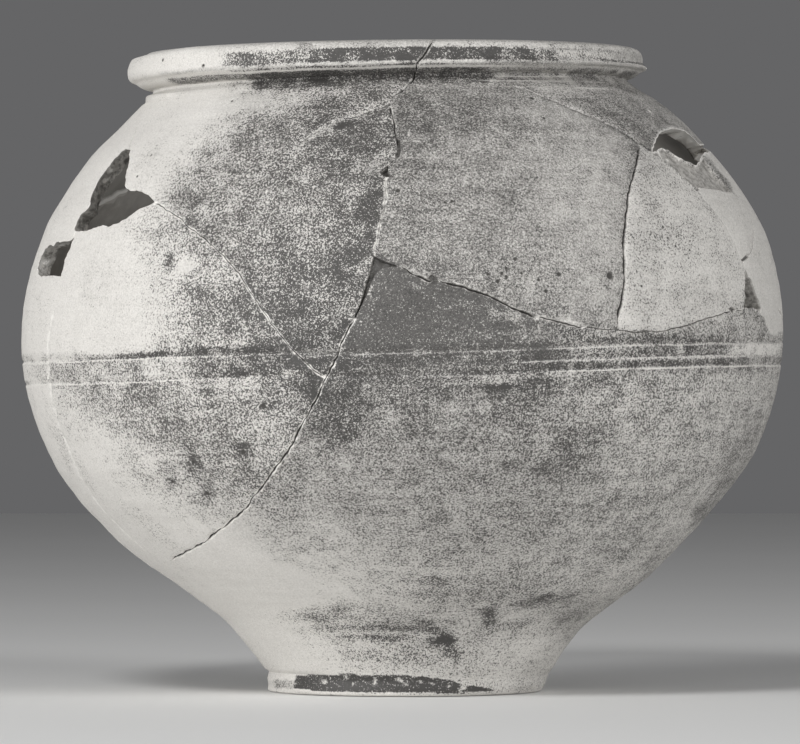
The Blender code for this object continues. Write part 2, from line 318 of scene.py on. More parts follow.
def slant(height):
    rim = smooth_share((height - NECK_HEIGHT) / RIM_HEIGHT)
    return smooth_share(height / LEAN_START) * (1.0 - (1.0 - RIM_LEAN_SHARE) * rim)


def settled(points):
    """Points of the straight pot, leaning and drifted as the old pot is."""
    x, y, height = points.T
    moved = x - height * math.sin(LEAN) + drift(height)
    return np.column_stack((moved, y, height + x * math.sin(LEAN) * slant(height)))


def unsettled(points):
    """The reverse of settled."""
    x, y, z = points.T
    height = z.copy()
    straight = x.copy()
    for _ in range(6):
        straight = x + height * math.sin(LEAN) - drift(height)
        height = z - straight * math.sin(LEAN) * slant(height)
    return np.column_stack((straight, y, height))


# The photograph's camera


def to_photo(points):
    """Pixels of the photograph where settled points show."""
    away = points[:, 1] - CAMERA[1]
    across = PHOTO_WIDTH / 2 + (points[:, 0] - CAMERA[0]) / away * FOCAL_PX
    down = LEVEL_ROW - (points[:, 2] - CAMERA[2]) / away * FOCAL_PX
    return np.column_stack((across, down))


def rays_of(pixels):
    """Steps away from the camera through these pixels, each of 1 mm in depth."""
    return np.column_stack((
        (pixels[:, 0] - PHOTO_WIDTH / 2) / FOCAL_PX,
        np.ones(len(pixels)),
        (LEVEL_ROW - pixels[:, 1]) / FOCAL_PX,
    ))


# The search along a ray: where it starts before the jar's axis, steps of 1 mm, and halvings
SEARCH_BEFORE = 190.0
SEARCH_STEPS = 200
HALVINGS = 24


def from_photo(pixels):
    """Places (along, turn) on the outside that these pixels show."""
    pixels = np.array(pixels, float)
    rays = rays_of(pixels)

    def gap(reach):
        straight = unsettled(CAMERA + rays * reach[:, None])
        outer = radius_at(along_at_height(straight[:, 2]))
        return np.hypot(straight[:, 0], straight[:, 1]) - outer, straight

    near = np.full(len(pixels), -CAMERA[1] - SEARCH_BEFORE)
    best = np.full(len(pixels), np.inf)
    nearest = near.copy()
    found = np.zeros(len(pixels), bool)
    reach = near.copy()
    for _ in range(SEARCH_STEPS):
        distance, _ = gap(reach)
        closer = (distance < best) & ~found
        best[closer] = distance[closer]
        nearest[closer] = reach[closer]
        found |= distance < 0.0
        near = np.where(found, near, reach)
        reach = reach + 1.0
    far = near + 1.0
    for _ in range(HALVINGS):
        middle = 0.5 * (near + far)
        distance, _ = gap(middle)
        near = np.where(distance < 0.0, near, middle)
        far = np.where(distance < 0.0, middle, far)
    _, straight = gap(np.where(found, far, nearest))
    turn = np.arctan2(straight[:, 0], -straight[:, 1])
    return np.column_stack((along_at_height(straight[:, 2]), turn))


# Lines over the surface


def plane(places):
    """Places as (turn, even), the flat map that the mesh is laid out in."""
    return np.column_stack((places[:, 1], even_at(places[:, 0])))


def unplane(flat):
    return np.column_stack((np.interp(flat[:, 1], EVEN, ALONG), flat[:, 0]))


def in_space(flat):
    """Points of the flat map in the straight thrown frame."""
    return thrown(*unplane(flat).T)


def on_map(flat):
    """Radius at points of the flat map, which is its scale there in millimetres."""
    return radius_at(np.interp(flat[:, 1], EVEN, ALONG))


def line_steps(flat, closed):
    """Lengths in millimetres between neighbouring points of a line on the map."""
    ring = np.vstack((flat, flat[:1])) if closed else flat
    scale = on_map(ring)
    return np.linalg.norm(np.diff(ring, axis=0), axis=1) * 0.5 * (scale[1:] + scale[:-1])


def side_steps(flat, closed):
    """Unit steps to the left of a line on the map, one at each point."""
    if closed:
        way = np.roll(flat, -1, axis=0) - np.roll(flat, 1, axis=0)
    else:
        way = np.gradient(flat, axis=0)
    way /= np.linalg.norm(way, axis=1)[:, None]
    return np.column_stack((-way[:, 1], way[:, 0]))


# How far a rough line strays: share, length of its wiggles in millimetres
STRAYS = ((0.5, 7.0), (0.32, 2.9), (0.25, 1.3))


def rough_line(places, seed, wander, step, closed=False):
    """A broken edge through these places: (map points, distance along it)."""
    flat = plane(places)
    ring = np.vstack((flat, flat[:1])) if closed else flat
    at = np.concatenate(([0.0], np.cumsum(line_steps(flat, closed))))
    count = max(3, round(at[-1] / step))
    wanted = np.linspace(0.0, at[-1], count + 1)
    line = np.column_stack([np.interp(wanted, at, ring[:, i]) for i in (0, 1)])
    if closed:
        line = line[:-1]
        wanted = wanted[:-1]
    stray = wander * sum(
        share * wave(wanted / length_of_wave, seed + number)
        for number, (share, length_of_wave) in enumerate(STRAYS))
    if closed:
        stray *= smooth_share(np.minimum(wanted, at[-1] - wanted) / 3.0)
    else:
        stray *= smooth_share(np.minimum(wanted, at[-1] - wanted) / 2.0 + 0.3)
    line = line + side_steps(line, closed) * (stray / on_map(line))[:, None]
    return line, wanted


def beside(flat, offset, closed=False):
    """A line beside another one on the map, offset millimetres to its left."""
    return flat + side_steps(flat, closed) * (offset / on_map(flat))[:, None]


def crossing(a, b, c, d):
    """Whether the line from a to b on the map crosses the one from c to d."""
    def turned(p, q, r):
        return (q[0] - p[0]) * (r[1] - p[1]) - (q[1] - p[1]) * (r[0] - p[0]) > 0.0
    return turned(a, b, c) != turned(a, b, d) and turned(c, d, a) != turned(c, d, b)


LOOP_REACH = 26
UNTANGLINGS = 8


def untangled(ring):
    """A closed line without the small loops where it crosses itself."""
    ring = ring.copy()
    count = len(ring)
    for _ in range(UNTANGLINGS):
        tangled = False
        for i in range(count):
            for reach in range(LOOP_REACH, 1, -1):
                j = (i + reach) % count
                end = ring[(j + 1) % count].copy()
                if crossing(ring[i], ring[(i + 1) % count], ring[j], end):
                    for step in range(1, reach + 1):
                        share = step / (reach + 1)
                        ring[(i + step) % count] = ring[i] * (1.0 - share) + end * share
                    tangled = True
                    break
        if not tangled:
            break
    return ring


def anticlockwise(ring):
    """A closed line on the map, turned round where it runs clockwise."""
    after = np.roll(ring, -1, axis=0)
    area = (ring[:, 0] * after[:, 1] - ring[:, 1] * after[:, 0]).sum()
    return ring[::-1] if area < 0.0 else ring


def tree_of(points):
    """A search tree of points in space."""
    tree = kdtree.KDTree(len(points))
    for index, point in enumerate(points):
        tree.insert(point, index)
    tree.balance()
    return tree


def runs(kept):
    """The numbers of neighbours that are kept, run by run."""
    run = []
    for index, ok in enumerate([*kept, False]):
        if ok:
            run.append(index)
        elif run:
            yield run
            run = []


NEAR_LINE = 9.0
PAIRS_AT_ONCE = 2000000


def nearest_on(points, line):
    """Distance of each point to a line in space, and the share of the way along it."""
    low = line.min(axis=0) - NEAR_LINE
    high = line.max(axis=0) + NEAR_LINE
    close = np.where(((points > low) & (points < high)).all(axis=1))[0]
    distance = np.full(len(points), FAR)
    where = np.zeros(len(points))
    start = line[:-1]
    step = line[1:] - start
    square = np.maximum((step**2).sum(axis=1), 1e-9)
    for block in np.array_split(close, max(1, len(close) * len(start) // PAIRS_AT_ONCE)):
        to = points[block][:, None, :] - start[None, :, :]
        share = np.clip((to * step).sum(axis=2) / square, 0.0, 1.0)
        apart = np.linalg.norm(to - share[:, :, None] * step, axis=2)
        best = apart.argmin(axis=1)
        rows = np.arange(len(block))
        distance[block] = apart[rows, best]
        where[block] = best + share[rows, best]
    return distance, where


def within(flat, ring):
    """Which map points lie inside a closed line."""
    inside = np.zeros(len(flat), bool)
    low = ring.min(axis=0)
    high = ring.max(axis=0)
    near = np.where(((flat > low) & (flat < high)).all(axis=1))[0]
    x, y = flat[near].T
    odd = np.zeros(len(near), bool)
    for (ax, ay), (bx, by) in zip(ring, np.roll(ring, -1, axis=0)):
        if ay == by:
            continue
        crosses = (ay > y) != (by > y)
        odd ^= crosses & (x < (bx - ax) * (y - ay) / (by - ay) + ax)
    inside[near] = odd
    return inside


# Lost sherds: the broken edge of each
BREAKS_PX = {
    "upper_left": (
        (130.4, 149.6), (129.2, 160), (127.4, 169), (124.2, 179), (124.2, 186), (127.8, 190.4),
        (136, 190.4), (142, 192.2), (149.5, 195.6), (154.2, 201.4), (147, 205.6), (139, 208.6),
        (132.6, 212.6), (127, 217.4), (118.5, 222.6), (110, 225.6), (102, 225.4), (94, 227.6),
        (86, 230.2), (80, 231.2), (75.4, 230.8), (74.6, 228.2), (77.6, 221), (80.6, 214.8),
        (84, 212.2), (88, 208.4), (90.2, 203.4), (90.8, 196), (94.2, 189.6), (97.5, 182),
        (102.6, 174.4), (108.6, 165.8), (114.6, 158), (120, 152.2), (125.4, 148.6),
    ),
    "lower_left": (
        (73.2, 236.8), (68.8, 239.8), (64.2, 241.9), (60.4, 242), (57, 240.8), (54.6, 243.6),
        (52.6, 246.4), (48.4, 245.2), (44.4, 248.4), (41, 254.6), (38.6, 261), (37, 267.2),
        (37.4, 273.6), (40, 277), (44.4, 275.8), (48.8, 275.4), (52.6, 274.2), (56, 277),
        (59.6, 276.4), (61.2, 269), (63.4, 260.6), (66.2, 252.8), (69.6, 245.4),
    ),
    "upper_right": (
        (704.8, 152.4), (703.6, 155.4), (700.2, 161), (697, 164.2), (692, 163), (685, 159.6),
        (677, 154.6), (669, 149.4), (662, 147.4), (657.4, 149.4), (652.4, 152.6), (653.6, 147.4),
        (656, 143), (657, 138.4), (661, 133.4), (666, 129.4), (672, 127.2), (678.6, 127.8),
        (686, 130.2), (693, 136), (699, 141.4), (702.4, 144.4),
    ),
    "right_wedge": (
        (745.4, 268.4), (746.2, 276), (745.8, 288), (745.6, 299), (744.9, 309.4), (749, 308.4),
        (755, 308.8), (762.4, 314), (763, 308), (759.6, 298.6), (755, 288.4), (750.6, 278.4),
    ),
}
# Of each break: how pale and how dark its face is painted, how pale its edge is, and how far its
# inner edge stands back
BREAK_SHAPE = {
    "upper_left": (0.0, 0.0, 0.26, 3.4),
    "lower_left": (0.55, 0.0, 0.34, 2.6),
    # The upper right face's paleness is mostly painted light: it brightens a face that sits in
    # shade
    "upper_right": (1.5, 0.0, 0.55, 3.4),
    "right_wedge": (0.0, 0.42, 0.24, -0.8),
}
# Corners of a gap that lie past the outline: degrees around from the front, and height
BEYOND = {"upper_right": ((88.0, 240.6), (93.5, 239.8), (89.0, 238.0))}

# Deep recesses that stop inside the wall: edge, depth and the width of their sides
RECESSES_PX = {
    "centre_wedge": (
        (373.2, 254.6), (378, 258.4), (386, 261.4), (394, 263.8), (400, 266.6), (392.6, 266.4),
        (384.6, 267.8), (378.6, 270.6), (375, 275), (372.4, 282), (369.4, 289.6), (366, 297),
        (361.8, 305), (357.4, 314), (354.6, 320), (354.2, 316.6), (358, 307), (361.8, 297),
        (365.4, 284.6), (368.6, 273), (371, 263.4),
    ),
    "chip": (
        (378.6, 172), (383.6, 168), (388.6, 164), (388.2, 170.4), (391, 175.6), (386.6, 177.2),
    ),
    "side_chip": (
        (395.6, 134.6), (400.4, 139.4), (401.6, 149), (400, 157), (394.6, 159.6), (396, 148),
    ),
    "top_chip": ((380.2, 106.6), (384.6, 103.6), (389.2, 101.6), (388.6, 106.8), (383.6, 108)),
    "across_chip": ((427, 278.6), (430.6, 273.8), (434, 274.8), (439.4, 279.6), (433, 281)),
    "right_notch": ((728.6, 309), (732.6, 305.8), (737.4, 309.4), (733.4, 311)),
    "right_pits": (
        (740.8, 259.6), (744.4, 256.6), (747.8, 253.8), (749.4, 257), (746, 260.2),
        (742.8, 262.6),
    ),
    "small_pit": ((695, 189), (698.6, 187.2), (700, 190), (696.6, 191.8)),
    "join_foot": ((614, 329.6), (617.6, 325), (619.4, 329.8)),
}
RECESS_DEPTH = {
    "centre_wedge": 2.4, "chip": 3.2, "side_chip": 1.3, "top_chip": 1.1, "across_chip": 1.3,
    "right_notch": 1.4, "right_pits": 1.3, "small_pit": 1.0, "join_foot": 1.2,
}
FLAKED_PX = (
    (652.4, 154), (657.4, 150.4), (662, 148.6), (669, 150.6), (677, 155.8), (685, 160.8),
    (692, 164.2), (697, 165.4), (700.8, 162), (704.4, 155.6), (710, 165.8), (718, 176),
    (727, 186), (734, 192.4), (724, 191.6), (712, 189.4), (701, 187.4), (694.6, 187.6),
    (688, 182.4), (681, 176), (672, 166.6), (663, 159.4),
)
FLAKE_DEPTH = 1.5
FLAKE_ROOM = 0.7

# Joins between sherds
JOINS_PX = {
    "rim": (
        (433, 41), (429.4, 47.6), (425.6, 53), (420.8, 58.4), (417, 65.2), (416, 70.8),
        (415, 75.4), (411.2, 81.6), (402.6, 89.4), (395.4, 95.2), (390, 99.4),
    ),
    "main_top": (
        (389.4, 100.6), (390.8, 109.4), (393, 118), (393.9, 127), (395.3, 134.6), (397.2, 141.6),
        (396.4, 151), (393.3, 159), (388.6, 164),
    ),
    "main_upper": (
        (387, 177.2), (385.4, 184), (386, 195), (384, 206.6), (381.6, 218), (378.6, 230),
        (376, 243), (374, 255),
    ),
    "main_lower": (
        (354.4, 320), (348.6, 330.6), (342.6, 343), (336.8, 356), (333.4, 363.6), (329, 372),
        (322, 386), (315.6, 400.6), (309, 413), (303.4, 423), (295.6, 437.4), (288, 451),
        (279.2, 463.6), (269.8, 477), (263, 486.4), (255, 497), (247, 506.4), (240, 514),
        (227, 525), (216, 533.6), (204, 543), (189, 552), (171, 561),
    ),
    "across_left": (
        (400, 266.6), (408, 270.8), (413.6, 274.4), (419, 276), (425, 278.8), (431, 280.8),
        (439.4, 280), (452, 284), (462, 287), (472, 291), (480, 292.6), (489, 296.4), (499, 301),
        (507, 306), (513.6, 308.6), (521, 311), (528, 313.6), (537, 317),
    ),
    "across_chipped": (
        (537, 317), (545, 318.6), (555, 320.6), (562, 321.8), (571, 324.8), (580, 327),
        (586, 326.4),
    ),
    "across_right": (
        (586, 326.4), (596, 329), (606, 330), (616, 330), (626, 330.6), (636, 332), (648, 331),
        (661, 332.6), (672, 329.6), (682, 328), (690, 325.4), (700, 321), (710, 318),
        (722, 313.4), (728, 312), (733, 310.6), (738, 310.6), (744.4, 310.8),
    ),
    "right_upright": (
        (640, 145), (638.4, 156), (636.6, 166), (633.4, 176), (630.6, 187), (628.4, 197),
        (626.8, 210), (625.8, 224), (624.6, 238), (624.2, 250), (625, 265), (624.8, 277),
        (624.4, 287), (622.4, 300), (620.2, 310), (618.6, 318), (617.4, 325),
    ),
    "shoulder": (
        (512, 85.6), (528, 90), (543, 97), (556, 102), (568, 106.4), (587, 115.6), (600, 120.6),
        (617, 129), (630, 136), (640, 142.4), (651.6, 151.4),
    ),
    "far_right": (
        (698, 191.4), (704, 199), (711, 208), (720, 219.6), (728, 232), (734, 243), (739.4, 255),
        (743.6, 264), (745.4, 268.4),
    ),
    "right_hair": ((751.6, 220.6), (752.8, 232.4), (752.4, 245.4), (750.4, 253.6), (747.8, 255)),
    "wedge_tail": ((763, 314), (766.6, 321), (770.6, 332)),
    "left_slant": (
        (154.4, 201.4), (161, 204.8), (168, 210), (174, 214.4), (181, 219.4), (188.6, 226),
        (196, 233), (204, 239), (212, 245.4), (221, 254), (230, 264), (238, 273), (245, 283),
        (252, 293.4), (258, 304), (265, 314.6), (273, 326), (280, 335), (288, 344), (297, 354),
        (306, 363.2), (315, 371), (324, 377.6),
    ),
    "filled": (
        (384.6, 104.4), (370, 110), (355, 114.6), (345, 118.6), (336, 122), (326, 126),
        (316, 130.4), (304, 139), (294, 144.6), (284, 150), (271, 157.4), (259, 164), (251, 171),
        (232, 180.6), (212, 189.4), (194, 201),
    ),
    "left_tick": ((74.6, 231.2), (73.6, 234), (73.2, 236.8)),
    "far_left": (
        (52, 312), (49.6, 328), (48, 345), (48.4, 372), (51, 397), (57, 420), (64, 438),
        (73, 460), (82, 479), (91.4, 495), (102, 510), (120, 530), (143, 551),
    ),
    "above_left": ((129.8, 148.6), (130.6, 141), (134, 132.4), (136.4, 124)),
}
# Half width, depth, width of the worn edge, how pale that edge is, step between the sherds
JOIN_SHAPE = {
    "rim": (0.6, 1.5, 0.8, 0.42, 0.25),
    "main_top": (0.48, 1.3, 0.7, 0.45, 0.3),
    "main_upper": (0.34, 0.5, 1.4, 0.6, 0.25),
    "main_lower": (0.52, 1.4, 1.1, 0.58, 0.3),
    "across_left": (0.58, 1.5, 0.9, 0.46, 0.25),
    "across_chipped": (0.42, 0.9, 0.9, 0.5, 0.2),
    "across_right": (0.36, 0.75, 0.7, 0.38, 0.2),
    "right_upright": (0.7, 1.4, 0.6, 0.3, 0.2),
    "shoulder": (0.7, 1.2, 0.9, 0.24, 0.2),
    "far_right": (0.35, 0.7, 0.5, 0.3, -0.3),
    "right_hair": (0.22, 0.5, 0.4, 0.2, 0.1),
    "wedge_tail": (0.35, 0.9, 0.6, 0.5, 0.15),
    "left_slant": (0.36, 0.85, 0.95, 0.59, 0.22),
    "filled": (0.24, 0.5, 0.5, 0.35, 0.12),
    "left_tick": (0.3, 0.5, 0.6, 0.6, 0),
    "far_left": (0.8, 0.2, 2.6, 0.6, 0.18),
    "above_left": (0.25, 0.4, 0.5, 0.2, 0),
    "back_girth_right": (0.35, 0.9, 0.8, 0.6, 0.2),
    "back_girth_left": (0.35, 0.9, 0.8, 0.6, 0.2),
    "back_right_upright": (0.35, 0.8, 0.7, 0.5, 0.15),
    "back_left_upright": (0.35, 0.8, 0.7, 0.5, 0.15),
    "back_lower": (0.3, 0.7, 0.8, 0.6, 0.15),
}
# Joins at the back, in keeping with the front: degrees around from the front, and height
BACK_JOINS = {
    "back_girth_right": ((78, 166), (96, 158), (118, 171), (140, 163), (158, 170)),
    "back_girth_left": (
        (-84, 193), (-92, 196), (-112, 184), (-134, 190), (-152, 178), (-166, 183),
    ),
    "back_right_upright": ((132, 263), (127, 240), (134, 212), (126, 186), (129, 167)),
    "back_left_upright": ((-118, 262), (-124, 236), (-117, 208), (-120, 187)),
    "back_lower": ((140, 163), (146, 128), (138, 96), (150, 66), (156, 44)),
}

# Small round pits: middle, radius in pixels and depth
PIT_SPREAD = 1.3
FRONT_SCALE = (-CAMERA[1] - 150.0) / FOCAL_PX
PITS_PX = (
    (610.5, 275.5, 4.2, 1.1), (559, 274, 2.4, 0.7), (538.6, 279.6, 1.8, 0.5),
    (546, 291, 2.2, 0.7), (498, 281, 2.4, 0.8), (502, 273, 2, 0.6), (506.4, 276.4, 1.8, 0.5),
    (515, 258.6, 2, 0.5), (488, 274, 1.8, 0.5), (506.6, 268, 1.8, 0.6), (521.6, 273, 1.6, 0.4),
    (398, 190, 2.6, 0.5), (452, 200.6, 1.8, 0.5), (445, 202, 1.6, 0.4), (456, 152, 1.5, 0.4),
    (434, 167, 1.5, 0.4), (416, 173, 1.8, 0.4), (203, 65.6, 2.2, 0.4), (163, 60, 1.8, 0.3),
    (137, 176, 1.6, 0.4), (151, 155, 1.4, 0.3), (232, 101, 1.6, 0.4), (263, 406, 3.2, 0.5),
    (243, 452, 3, 0.4), (207, 494, 2.6, 0.4), (193, 462, 2.4, 0.4), (172, 482, 2.2, 0.4),
    (527, 72.4, 1.6, 0.4), (613.6, 82.4, 1.8, 0.4), (532, 98, 2.8, 0.5), (544, 118, 1.8, 0.4),
    (668, 238, 1.4, 0.3), (663, 227, 1.4, 0.3), (676, 246, 1.4, 0.3), (690, 250, 1.4, 0.3),
    (642, 286, 1.4, 0.3),
)

# Seen through the upper left gap: a ledge where the inner skin of the far wall has come away
LEDGE_PX = (
    (84, 210), (88, 206.6), (91, 205), (95.6, 202.4), (100, 200), (105, 197.6), (110, 196),
    (114, 193.4), (117.4, 191.4), (121, 190.4), (126, 188.6), (131, 187.4),
)
LEDGE_STEP = 2.2
# Seen through the upper right gap: a part of the far wall painted dark, as painted shade
INSIDE_SHADE_PX = ((662, 136), (676, 142), (692, 154))


class Layout:
    """Points of the flat map, the edges that the mesh keeps, and the further points that marks
    ask for.
    """

    def __init__(self):
        self.flat = []
        self.edges = []
        self.taken = []

    def add(self, flat, keep_edges=False, closed=False):
        """Add points, and keep the edges between neighbours where asked."""
        first = len(self.flat)
        self.flat.extend(map(tuple, flat))
        if keep_edges:
            ids = list(range(first, len(self.flat)))
            pairs = list(zip(ids, ids[1:]))
            if closed:
                pairs.append((ids[-1], ids[0]))
            self.edges.extend(pairs)
        return list(range(first, len(self.flat)))


layout = Layout()
breaks = {}
recesses = {}
joins = {}
ledge = {}


def thinned(flat, others, gap):
    """Drop points of the map nearer than gap millimetres to others or to one another."""
    points = in_space(flat)
    tree = tree_of(others) if others is not None and len(others) else None
    around = list(product((-1, 0, 1), repeat=3))
    cells = {}
    keep = []
    for index, point in enumerate(points):
        if tree is not None and tree.find(point)[2] < gap:
            continue
        cell = tuple(int(c // gap) for c in point)
        near = (
            other for dx, dy, dz in around
            for other in cells.get((cell[0] + dx, cell[1] + dy, cell[2] + dz), ()))
        if all(np.abs(points[other] - point).sum() >= gap for other in near):
            cells.setdefault(cell, []).append(index)
            keep.append(index)
    return flat[keep]


# How far the edges stray from their corners, and the step between their points
BREAK_WANDER = 0.8
BREAK_STEP = 0.85
# The inner edge's own wandering: millimetres and points to a wiggle, and the room it keeps
INNER_WANDER = 0.7
INNER_WIGGLE = 6.0
INNER_ROOM = 0.7


def lay_out_breaks():
    """The edges of the lost sherds, on the outside and on the wall's inner face."""
    for seed, (name, pixels) in enumerate(BREAKS_PX.items()):
        places = from_photo(pixels)
        for degrees, height in BEYOND.get(name, ()):
            places = np.vstack((places, (along_at_height(height), math.radians(degrees))))
        edge, _ = rough_line(places, 31 + seed * 5, BREAK_WANDER, BREAK_STEP, closed=True)
        edge = anticlockwise(untangled(edge))
        breaks[name] = {"edge": edge, "space": in_space(edge)}
    for seed, (name, broken) in enumerate(breaks.items()):
        edge = broken["edge"]
        others = np.vstack([b["space"] for other, b in breaks.items() if other != name])
        room = np.array([np.linalg.norm(others - p, axis=1).min() for p in broken["space"]])
        ids = layout.add(edge, keep_edges=True, closed=True)
        places = unplane(edge)
        inner_along = inner_side(places[:, 0])
        inner = plane(np.column_stack((inner_along, places[:, 1])))
        stray = INNER_WANDER * wave(np.arange(len(edge)) / INNER_WIGGLE, seed + 50)
        back = np.minimum(BREAK_SHAPE[name][3] + stray, 0.5 * room - INNER_ROOM)
        inner = untangled(beside(inner, back, closed=True))
        inner_ids = layout.add(inner, keep_edges=True, closed=True)
        broken.update(ids=ids, inner=inner, inner_ids=inner_ids)


def inner_side(along):
    """Where on the inside the wall's other face lies, for places on the body's outside."""
    height = height_at(along) - WALL * np.interp(along, ALONG, NORMAL[:, 1])
    return np.interp(-height, -OUTLINE[INNER_WALL, 1], ALONG[INNER_WALL])


# Wandering and step of the flaked skin's edge, of the centre wedge's and of the others'
RECESS_EDGES = {"flaked": (0.5, 0.9), "centre_wedge": (0.25, 0.9)}
OTHER_EDGE = (0.25, 0.6)
RECESS_INSET = 0.4
RECESS_ROOM = 0.3


def lay_out_recesses():
    """The edges of the recesses, their inner edges and some points within."""
    for seed, (name, pixels) in enumerate(list(RECESSES_PX.items()) + [("flaked", FLAKED_PX)]):
        wander, step = RECESS_EDGES.get(name, OTHER_EDGE)
        edge, _ = rough_line(from_photo(pixels), 71 + seed * 4, wander, step, closed=True)
        edge = anticlockwise(edge)
        recesses[name] = edge
        if name == "flaked":
            taken = np.vstack([in_space(b["edge"]) for b in breaks.values()])
            edge = thinned(edge, taken, FLAKE_ROOM)
            inner = thinned(beside(edge, FLAKE_ROOM, closed=True), taken, FLAKE_ROOM)
            layout.add(edge)
            layout.add(inner)
            continue
        layout.add(edge, keep_edges=True, closed=True)
        inner = beside(edge, RECESS_INSET, closed=True)
        inner = inner[within(inner, edge)]
        layout.add(thinned(inner, None, RECESS_ROOM))


JOIN_WANDER = 0.55
# The step between a join's points, at the front and at the back
JOIN_STEPS = (1.0, 1.6)
# How a join's width changes along it: share, length of the wiggles and first seed
JOIN_WIGGLES = ((0.45, 5.0, 200), (0.3, 1.7, 230))
NARROWEST = 0.24


def lay_out_joins():
    """Each join's line, with rows of points at the foot and the top of its worn edges."""
    routes = {name: from_photo(pixels) for name, pixels in JOINS_PX.items()}
    for name, corners in BACK_JOINS.items():
        turns = np.radians([c[0] for c in corners])
        alongs = along_at_height(np.array([c[1] for c in corners], float))
        routes[name] = np.column_stack((alongs, turns))
    edges = [b["edge"] for b in breaks.values()]
    edges += [edge for name, edge in recesses.items() if name != "flaked"]
    edge_points = np.vstack([in_space(e) for e in edges])
    edge_tree = tree_of(edge_points)
    for seed, (name, places) in enumerate(routes.items()):
        half, depth, worn, pale, step = JOIN_SHAPE[name]
        between = JOIN_STEPS[name.startswith("back")]
        line, at = rough_line(places, 131 + seed * 3, JOIN_WANDER, between)
        change = sum(
            share * wave(at / wiggle, first + seed) for share, wiggle, first in JOIN_WIGGLES)
        width = np.maximum(half * (1.0 + change), NARROWEST)
        joins[name] = {
            "line": line, "space": in_space(line), "width": width,
            "shape": (depth, worn, pale, step)}
        clear = np.ones(len(line), bool)
        for edge in edges:
            clear &= ~within(line, edge)
        clear &= np.array([edge_tree.find(p)[2] > JOIN_ROOM for p in joins[name]["space"]])
        for run in runs(clear):
            if len(run) > 1:
                layout.add(line[run], keep_edges=True)
        for share in (1.0, -1.0, 2.0, -2.0):
            offset = np.sign(share) * (width if abs(share) == 1.0 else width + worn)
            layout.taken.append(beside(line, offset)[clear])


INSIDE_SEARCH_STEPS = 900
INSIDE_SEARCH_STEP = 0.2


def from_photo_inside(pixels):
    """Places on the far inner wall that these pixels would show, were the near wall away."""
    pixels = np.array(pixels, float)
    rays = rays_of(pixels)
    heights = OUTLINE[INNER_WALL, 1][::-1]
    reach = np.full(len(pixels), -CAMERA[1])
    done = np.zeros(len(pixels), bool)
    for _ in range(INSIDE_SEARCH_STEPS):
        straight = unsettled(CAMERA + rays * reach[:, None])
        inner = np.interp(straight[:, 2], heights, OUTLINE[INNER_WALL, 0][::-1])
        done |= np.hypot(straight[:, 0], straight[:, 1]) >= inner
        if done.all():
            break
        reach = np.where(done, reach, reach + INSIDE_SEARCH_STEP)
    straight = unsettled(CAMERA + rays * reach[:, None])
    along = np.interp(-straight[:, 2], -heights[::-1], ALONG[INNER_WALL])
    return np.column_stack((along, np.arctan2(straight[:, 0], -straight[:, 1])))


def lay_out_ledge():
    """Two rows of points along the ledge inside."""
    line, _ = rough_line(from_photo_inside(LEDGE_PX), 401, 0.5, 1.0)
    ledge["line"] = line
    ledge["space"] = in_space(line)
    layout.add(beside(line, 0.35), keep_edges=True)
    layout.add(beside(line, -0.35), keep_edges=True)


# The rings of points around a pit's middle, as shares of its radius, and points in each
PIT_RINGS = (0.55, 1.05)
RING_POINTS = 8


def lay_out_pits():
    """A middle and two rings of points for each small pit."""
    middles = from_photo([p[:2] for p in PITS_PX])
    for place, (_, _, radius_px, _) in zip(plane(middles), PITS_PX):
        radius = radius_px * FRONT_SCALE * PIT_SPREAD
        size = radius / on_map(place[None])[0]
        ring = [place]
        for share in PIT_RINGS:
            for step in range(RING_POINTS):
                angle = math.tau * (step + share) / RING_POINTS
                ring.append(place + size * share * np.array((math.cos(angle), math.sin(angle))))
        layout.taken.append(np.array(ring))


TURN_SAMPLES = 1601
LEAST_COLUMNS = 8
SEAM_ROOM = 0.3


def columns(radius, front_step, back_step, offset):
    """Turns of one row's points, closer at the front, with both ends at the back seam."""
    turns = np.linspace(-math.pi, math.pi, TURN_SAMPLES)
    back = smooth_share((np.abs(turns) - FRONT_HALF) / FRONT_FADE)
    step = front_step + (back_step - front_step) * back
    mean_step = 0.5 * (step[1:] + step[:-1])
    count = np.concatenate(([0.0], np.cumsum(np.diff(turns) * radius / mean_step)))
    total = max(LEAST_COLUMNS, round(count[-1]))
    wanted = (np.arange(1 if offset == 0.0 else 0, total) + offset) * count[-1] / total
    inner = np.interp(wanted, count, turns)
    inner = inner[np.abs(inner) < math.pi - SEAM_ROOM * back_step / radius]
    return np.concatenate(([-math.pi], inner, [math.pi]))


def rows_between(low, high, step):
    count = max(1, round((high - low) / step))
    return list(np.linspace(low, high, count + 1)[:-1])


